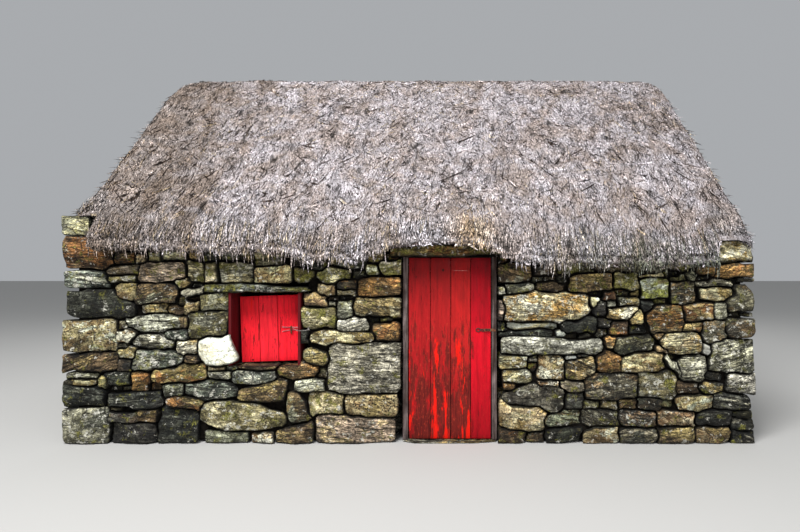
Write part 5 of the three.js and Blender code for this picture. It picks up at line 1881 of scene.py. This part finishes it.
def buildDoor():
    for k, (name, paint) in enumerate(doorPaint.items()):
        low, high = (np.array(corner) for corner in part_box(name))
        inset = np.array([0.0012, 0.0, 0.0])
        board = bar(low + inset, high - inset, 2, cells=5, rough=0.0012, seed=7 + k, spans=0.05)
        piece = addBars(f"painted_{name}", [board], redPaint, "door", (name,))
        paintedPoints(piece.data, paint["tone"], paint["wear"], paint["fade"], doorWear)
    for k, side in enumerate(("left", "right")):
        low, high = (np.array(corner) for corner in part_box(f"door_post_{side}"))
        post = bar(low, high, 2, rounding=0.006, rough=0.003, seed=17 + k, spans=0.06)
        addBars(f"weathered_post_{side}", [post], postWood, "cottage", (f"door_post_{side}",))


# The shutter: where its middle hangs, how far it is turned, and where each board begins, from the middle
shutter = {
    "middle": (-1.383, -2.068, 1.0834),
    "tilt": math.radians(2),
    "height": 0.65,
    "thickness": 0.028,
    "wear": 0.3,
    "frame": {"tone": (0.10, 0.006, 0.009), "wear": 0.05},
    "boards": {
        "shutter_board_1": {"from": -0.295, "width": 0.184, "tone": (0.84, 0.014, 0.026)},
        "shutter_board_2": {"from": -0.109, "width": 0.180, "tone": (0.95, 0.020, 0.036)},
        "shutter_board_3": {"from": 0.073, "width": 0.222, "tone": (1.0, 0.014, 0.030)},
    },
}


def onShutter(points):
    # From the shutter's own upright place to where it hangs, turned a little
    c, s = math.cos(shutter["tilt"]), math.sin(shutter["tilt"])
    turned = points @ np.array([[c, 0, s], [0, 1, 0], [-s, 0, c]])
    return turned + np.array(shutter["middle"])


def buildShutter():
    half = shutter["height"] / 2
    for k, (name, given) in enumerate(shutter["boards"].items()):
        low = (given["from"] + 0.001, 0, -half)
        high = (given["from"] + given["width"] - 0.001, shutter["thickness"], half)
        board = bar(low, high, 2, cells=5, rough=0.0012, seed=23 + 3 * k, spans=0.05)
        piece = addBars(f"painted_{name}", [board], redPaint, "cottage", (name,), onShutter)
        paintedPoints(piece.data, given["tone"], shutter["wear"])
    for k, side in enumerate(("left", "right")):
        name = f"window_post_{side}"
        low, high = (np.array(corner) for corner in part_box(name))
        post = bar(low, high, 2, rough=0.002, seed=27 + k, spans=0.06)
        piece = addBars(f"painted_{name}", [post], redPaint, "cottage", (name,))
        paintedPoints(piece.data, **shutter["frame"])


def buildPoles():
    for k, name in enumerate(("ridge_pole", "purlin_front", "purlin_back")):
        low, high = (np.array(corner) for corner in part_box(name))
        radius = (high - low)[2] / 2
        pole = bar(low, high, 0, rounding=0.9 * radius, cells=1, rough=0.004, seed=31 + k, spans=0.10)
        addBars(f"bark_{name}", [pole], barkWood, "cottage", (name,))


def tube(path, radius, around=8, samples=6):
    # A round section carried along a smooth curve through the path's points, closed to a point at both ends
    spine = smoothCurve(path, samples)
    along = unit(np.gradient(spine, axis=0))
    side = unit(np.cross(along, [0.1, 0.25, 1.0]))
    up = np.cross(side, along)
    turn = np.arange(around) / around * 2 * np.pi
    ring = side[:, None] * np.cos(turn)[:, None] + up[:, None] * np.sin(turn)[:, None]
    points = (spine[:, None] + ring * radius).reshape(-1, 3)
    points = np.concatenate([spine[:1] - along[:1] * radius, points, spine[-1:] + along[-1:] * radius])
    bands, fans = shellFaces(around, len(spine))
    return points, bands, fans


# Twine and sticks on the front roof: material, half thickness, and points as x and how far out
roofLines = {
    "roof_twine": (roofWood, 0.0032, [
        [(-0.759, 2.058), (-0.572, 2.107), (-0.321, 2.077), (0.06, 2.10)],
        [(-0.78, 1.75), (-0.237, 1.73), (0.057, 1.754)],
        [(-0.594, 2.097), (-0.234, 2.236), (0.107, 2.341)],
    ]),
    "pale_sticks": (stickWood, 0.0052, [
        [(-2.21, 0.239), (-1.871, 0.785), (-1.477, 1.411)],
        [(-1.113, 1.65), (-0.902, 1.849), (-0.582, 2.048)],
        [(1.32, 0.55), (1.41, 0.93), (1.47, 1.22)],
    ]),
    "dark_sticks": (roofWood, 0.0056, [
        [(-0.798, 1.69), (-0.723, 1.814), (-0.674, 1.918)],
        [(-0.568, 1.754), (-0.627, 1.899), (-0.672, 2.048)],
        [(-1.292, 1.958), (-1.196, 1.978), (-1.094, 1.943)],
        [(-1.663, 1.779), (-1.419, 1.799), (-1.202, 1.799)],
    ]),
}


def onRoof(path, radius):
    # A stick or a string a little above the straw
    spots = smoothCurve(path, 8)
    run = np.interp(spots[:, 1], topCurve[:, 0], topRun)
    line = thatchPoint(spots[:, 0], run, -1) + thatchFacing(spots[:, 0], run, -1) * 0.024
    return tube(line, radius, 6, 1)


def buildWires():
    # The hook that holds the shutter, from its pin past the frame to a staple in the wall
    hook = [
        (-1.150, -2.078, 1.092), (-1.158, -2.094, 1.088), (-1.120, -2.155, 1.083), (-1.075, -2.270, 1.082),
        (-1.040, -2.300, 1.085), (-0.985, -2.325, 1.090), (-0.945, -2.335, 1.100), (-0.938, -2.312, 1.104),
    ]
    staple = [
        (-0.950, -2.290, 1.122), (-0.950, -2.330, 1.118), (-0.946, -2.342, 1.104), (-0.944, -2.330, 1.092),
        (-0.944, -2.290, 1.090),
    ]
    parts = [tube(hook, 0.0022), tube(staple, 0.0024)]
    addPiece(toMesh("shutter_hook", *joined(parts)), paleWire, "cottage")
    for name, (material, radius, paths) in roofLines.items():
        lines = [onRoof(path, radius) for path in paths]
        addPiece(toMesh(name, *joined(lines)), material, "cottage")


def buildFittings():
    # The shutter's forked hasp and its pin, in the shutter's own place
    upper = [
        (0.118, -0.004, 0.014), (0.132, -0.005, 0.008), (0.215, -0.004, 0.004), (0.303, -0.004, -0.002),
    ]
    lower = [
        (0.116, -0.004, -0.036), (0.128, -0.005, -0.032), (0.190, -0.005, -0.024), (0.303, -0.004, -0.016),
    ]
    fork = joined([tube(upper, 0.0065), tube(lower, 0.0050)])
    piece = toMesh("shutter_fork", onShutter(fork[0]), *fork[1:])
    addPiece(piece, paintedIron, "cottage", ("shutter_hasp",))
    pin = [(0.205, 0.0, 0.010), (0.206, -0.018, 0.012), (0.207, -0.020, -0.020), (0.205, -0.012, -0.052)]
    pin = tube(pin, 0.008)
    addPiece(toMesh("shutter_pin", onShutter(pin[0]), *pin[1:]), rustyIron, "cottage")
    # The door's latch: an eye and a bent strap on the board
    turn = np.linspace(0, 2 * np.pi, 9)
    eye = np.stack([0.662 + 0.019 * np.cos(turn), 0 * turn - 2.195, 1.081 + 0.015 * np.sin(turn)], -1)
    addPiece(toMesh("door_latch_eye", *tube(eye, 0.0055)), darkIron, "door")
    strap = [(0.680, -2.194, 1.084), (0.705, -2.195, 1.088), (0.735, -2.194, 1.078), (0.772, -2.193, 1.076)]
    second = [(0.684, -2.194, 1.076), (0.712, -2.194, 1.070), (0.742, -2.194, 1.086), (0.775, -2.193, 1.088)]
    straps = joined([tube(strap, 0.0065), tube(second, 0.0055)])
    addPiece(toMesh("door_latch_strap", *straps), darkIron, "door")


# The frame's own solids that need no other form, and what they are made of
carried = {
    "rafter_front": roofWood, "rafter_back": roofWood, "rafter_collar": roofWood,
    "door_ledge_bottom": ledgeWood, "door_ledge_middle": ledgeWood, "door_ledge_top": ledgeWood,
    "shutter_ledge_lower": ledgeWood, "shutter_ledge_upper": ledgeWood,
    "door_pintle_lower": rustyIron, "door_pintle_upper": rustyIron, "door_hasp": rustyIron,
    "door_hinge_lower": rustyIron, "door_hinge_upper": rustyIron, "door_staple": rustyIron,
}
for name, material in carried.items():
    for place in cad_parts[name].material_slots:
        place.material = material
buildDoor()
buildShutter()
buildPoles()
buildWires()
buildFittings()
print("joinery built")

# Light and floor

bpy.context.scene.view_settings.view_transform = "Standard"
world = bpy.data.worlds.new("studio")
bpy.context.scene.world = world
world.use_nodes = True
sky = {"Color": (0.90, 0.93, 0.97, 1), "Strength": 0.44}
for key, value in sky.items():
    world.node_tree.nodes["Background"].inputs[key].default_value = value
lampAim = (0, 0, 1.5)
lamps = {
    "keyLight": {"place": (-2.5, -9.0, 11.0), "size": 5.0, "power": 2250},
    "fillLight": {"place": (5.0, -11.0, 4.0), "size": 7.0, "power": 350},
    "backLight": {"place": (0.0, 9.0, 8.0), "size": 8.0, "power": 500},
}
for name, lamp in lamps.items():
    data = bpy.data.lights.new(name, "AREA")
    data.size = lamp["size"]
    data.energy = lamp["power"]
    light = bpy.data.objects.new(name, data)
    light.location = lamp["place"]
    aim = np.array(lampAim) - np.array(lamp["place"])
    tilt = math.atan2(math.hypot(aim[0], aim[1]), -aim[2])
    light.rotation_euler = (tilt, 0, math.atan2(aim[1], aim[0]) - math.pi / 2)
    bpy.context.scene.collection.objects.link(light)

floorMaterial, _, floorShader = newMaterial("paleFloor", 0.9, 0.0, 0.2)
floorShader.inputs["Base Color"].default_value = (0.46, 0.455, 0.44, 1)
floorHalf = 60
floorCorners = [(x * floorHalf, y * floorHalf, 0) for x, y in ((-1, -1), (1, -1), (1, 1), (-1, 1))]
floorMesh = toMesh("floor", floorCorners, [(0, 1, 2, 3)], [])
floorMesh.materials.append(floorMaterial)
floor = bpy.data.objects.new("floor", floorMesh)
bpy.context.scene.collection.objects.link(floor)
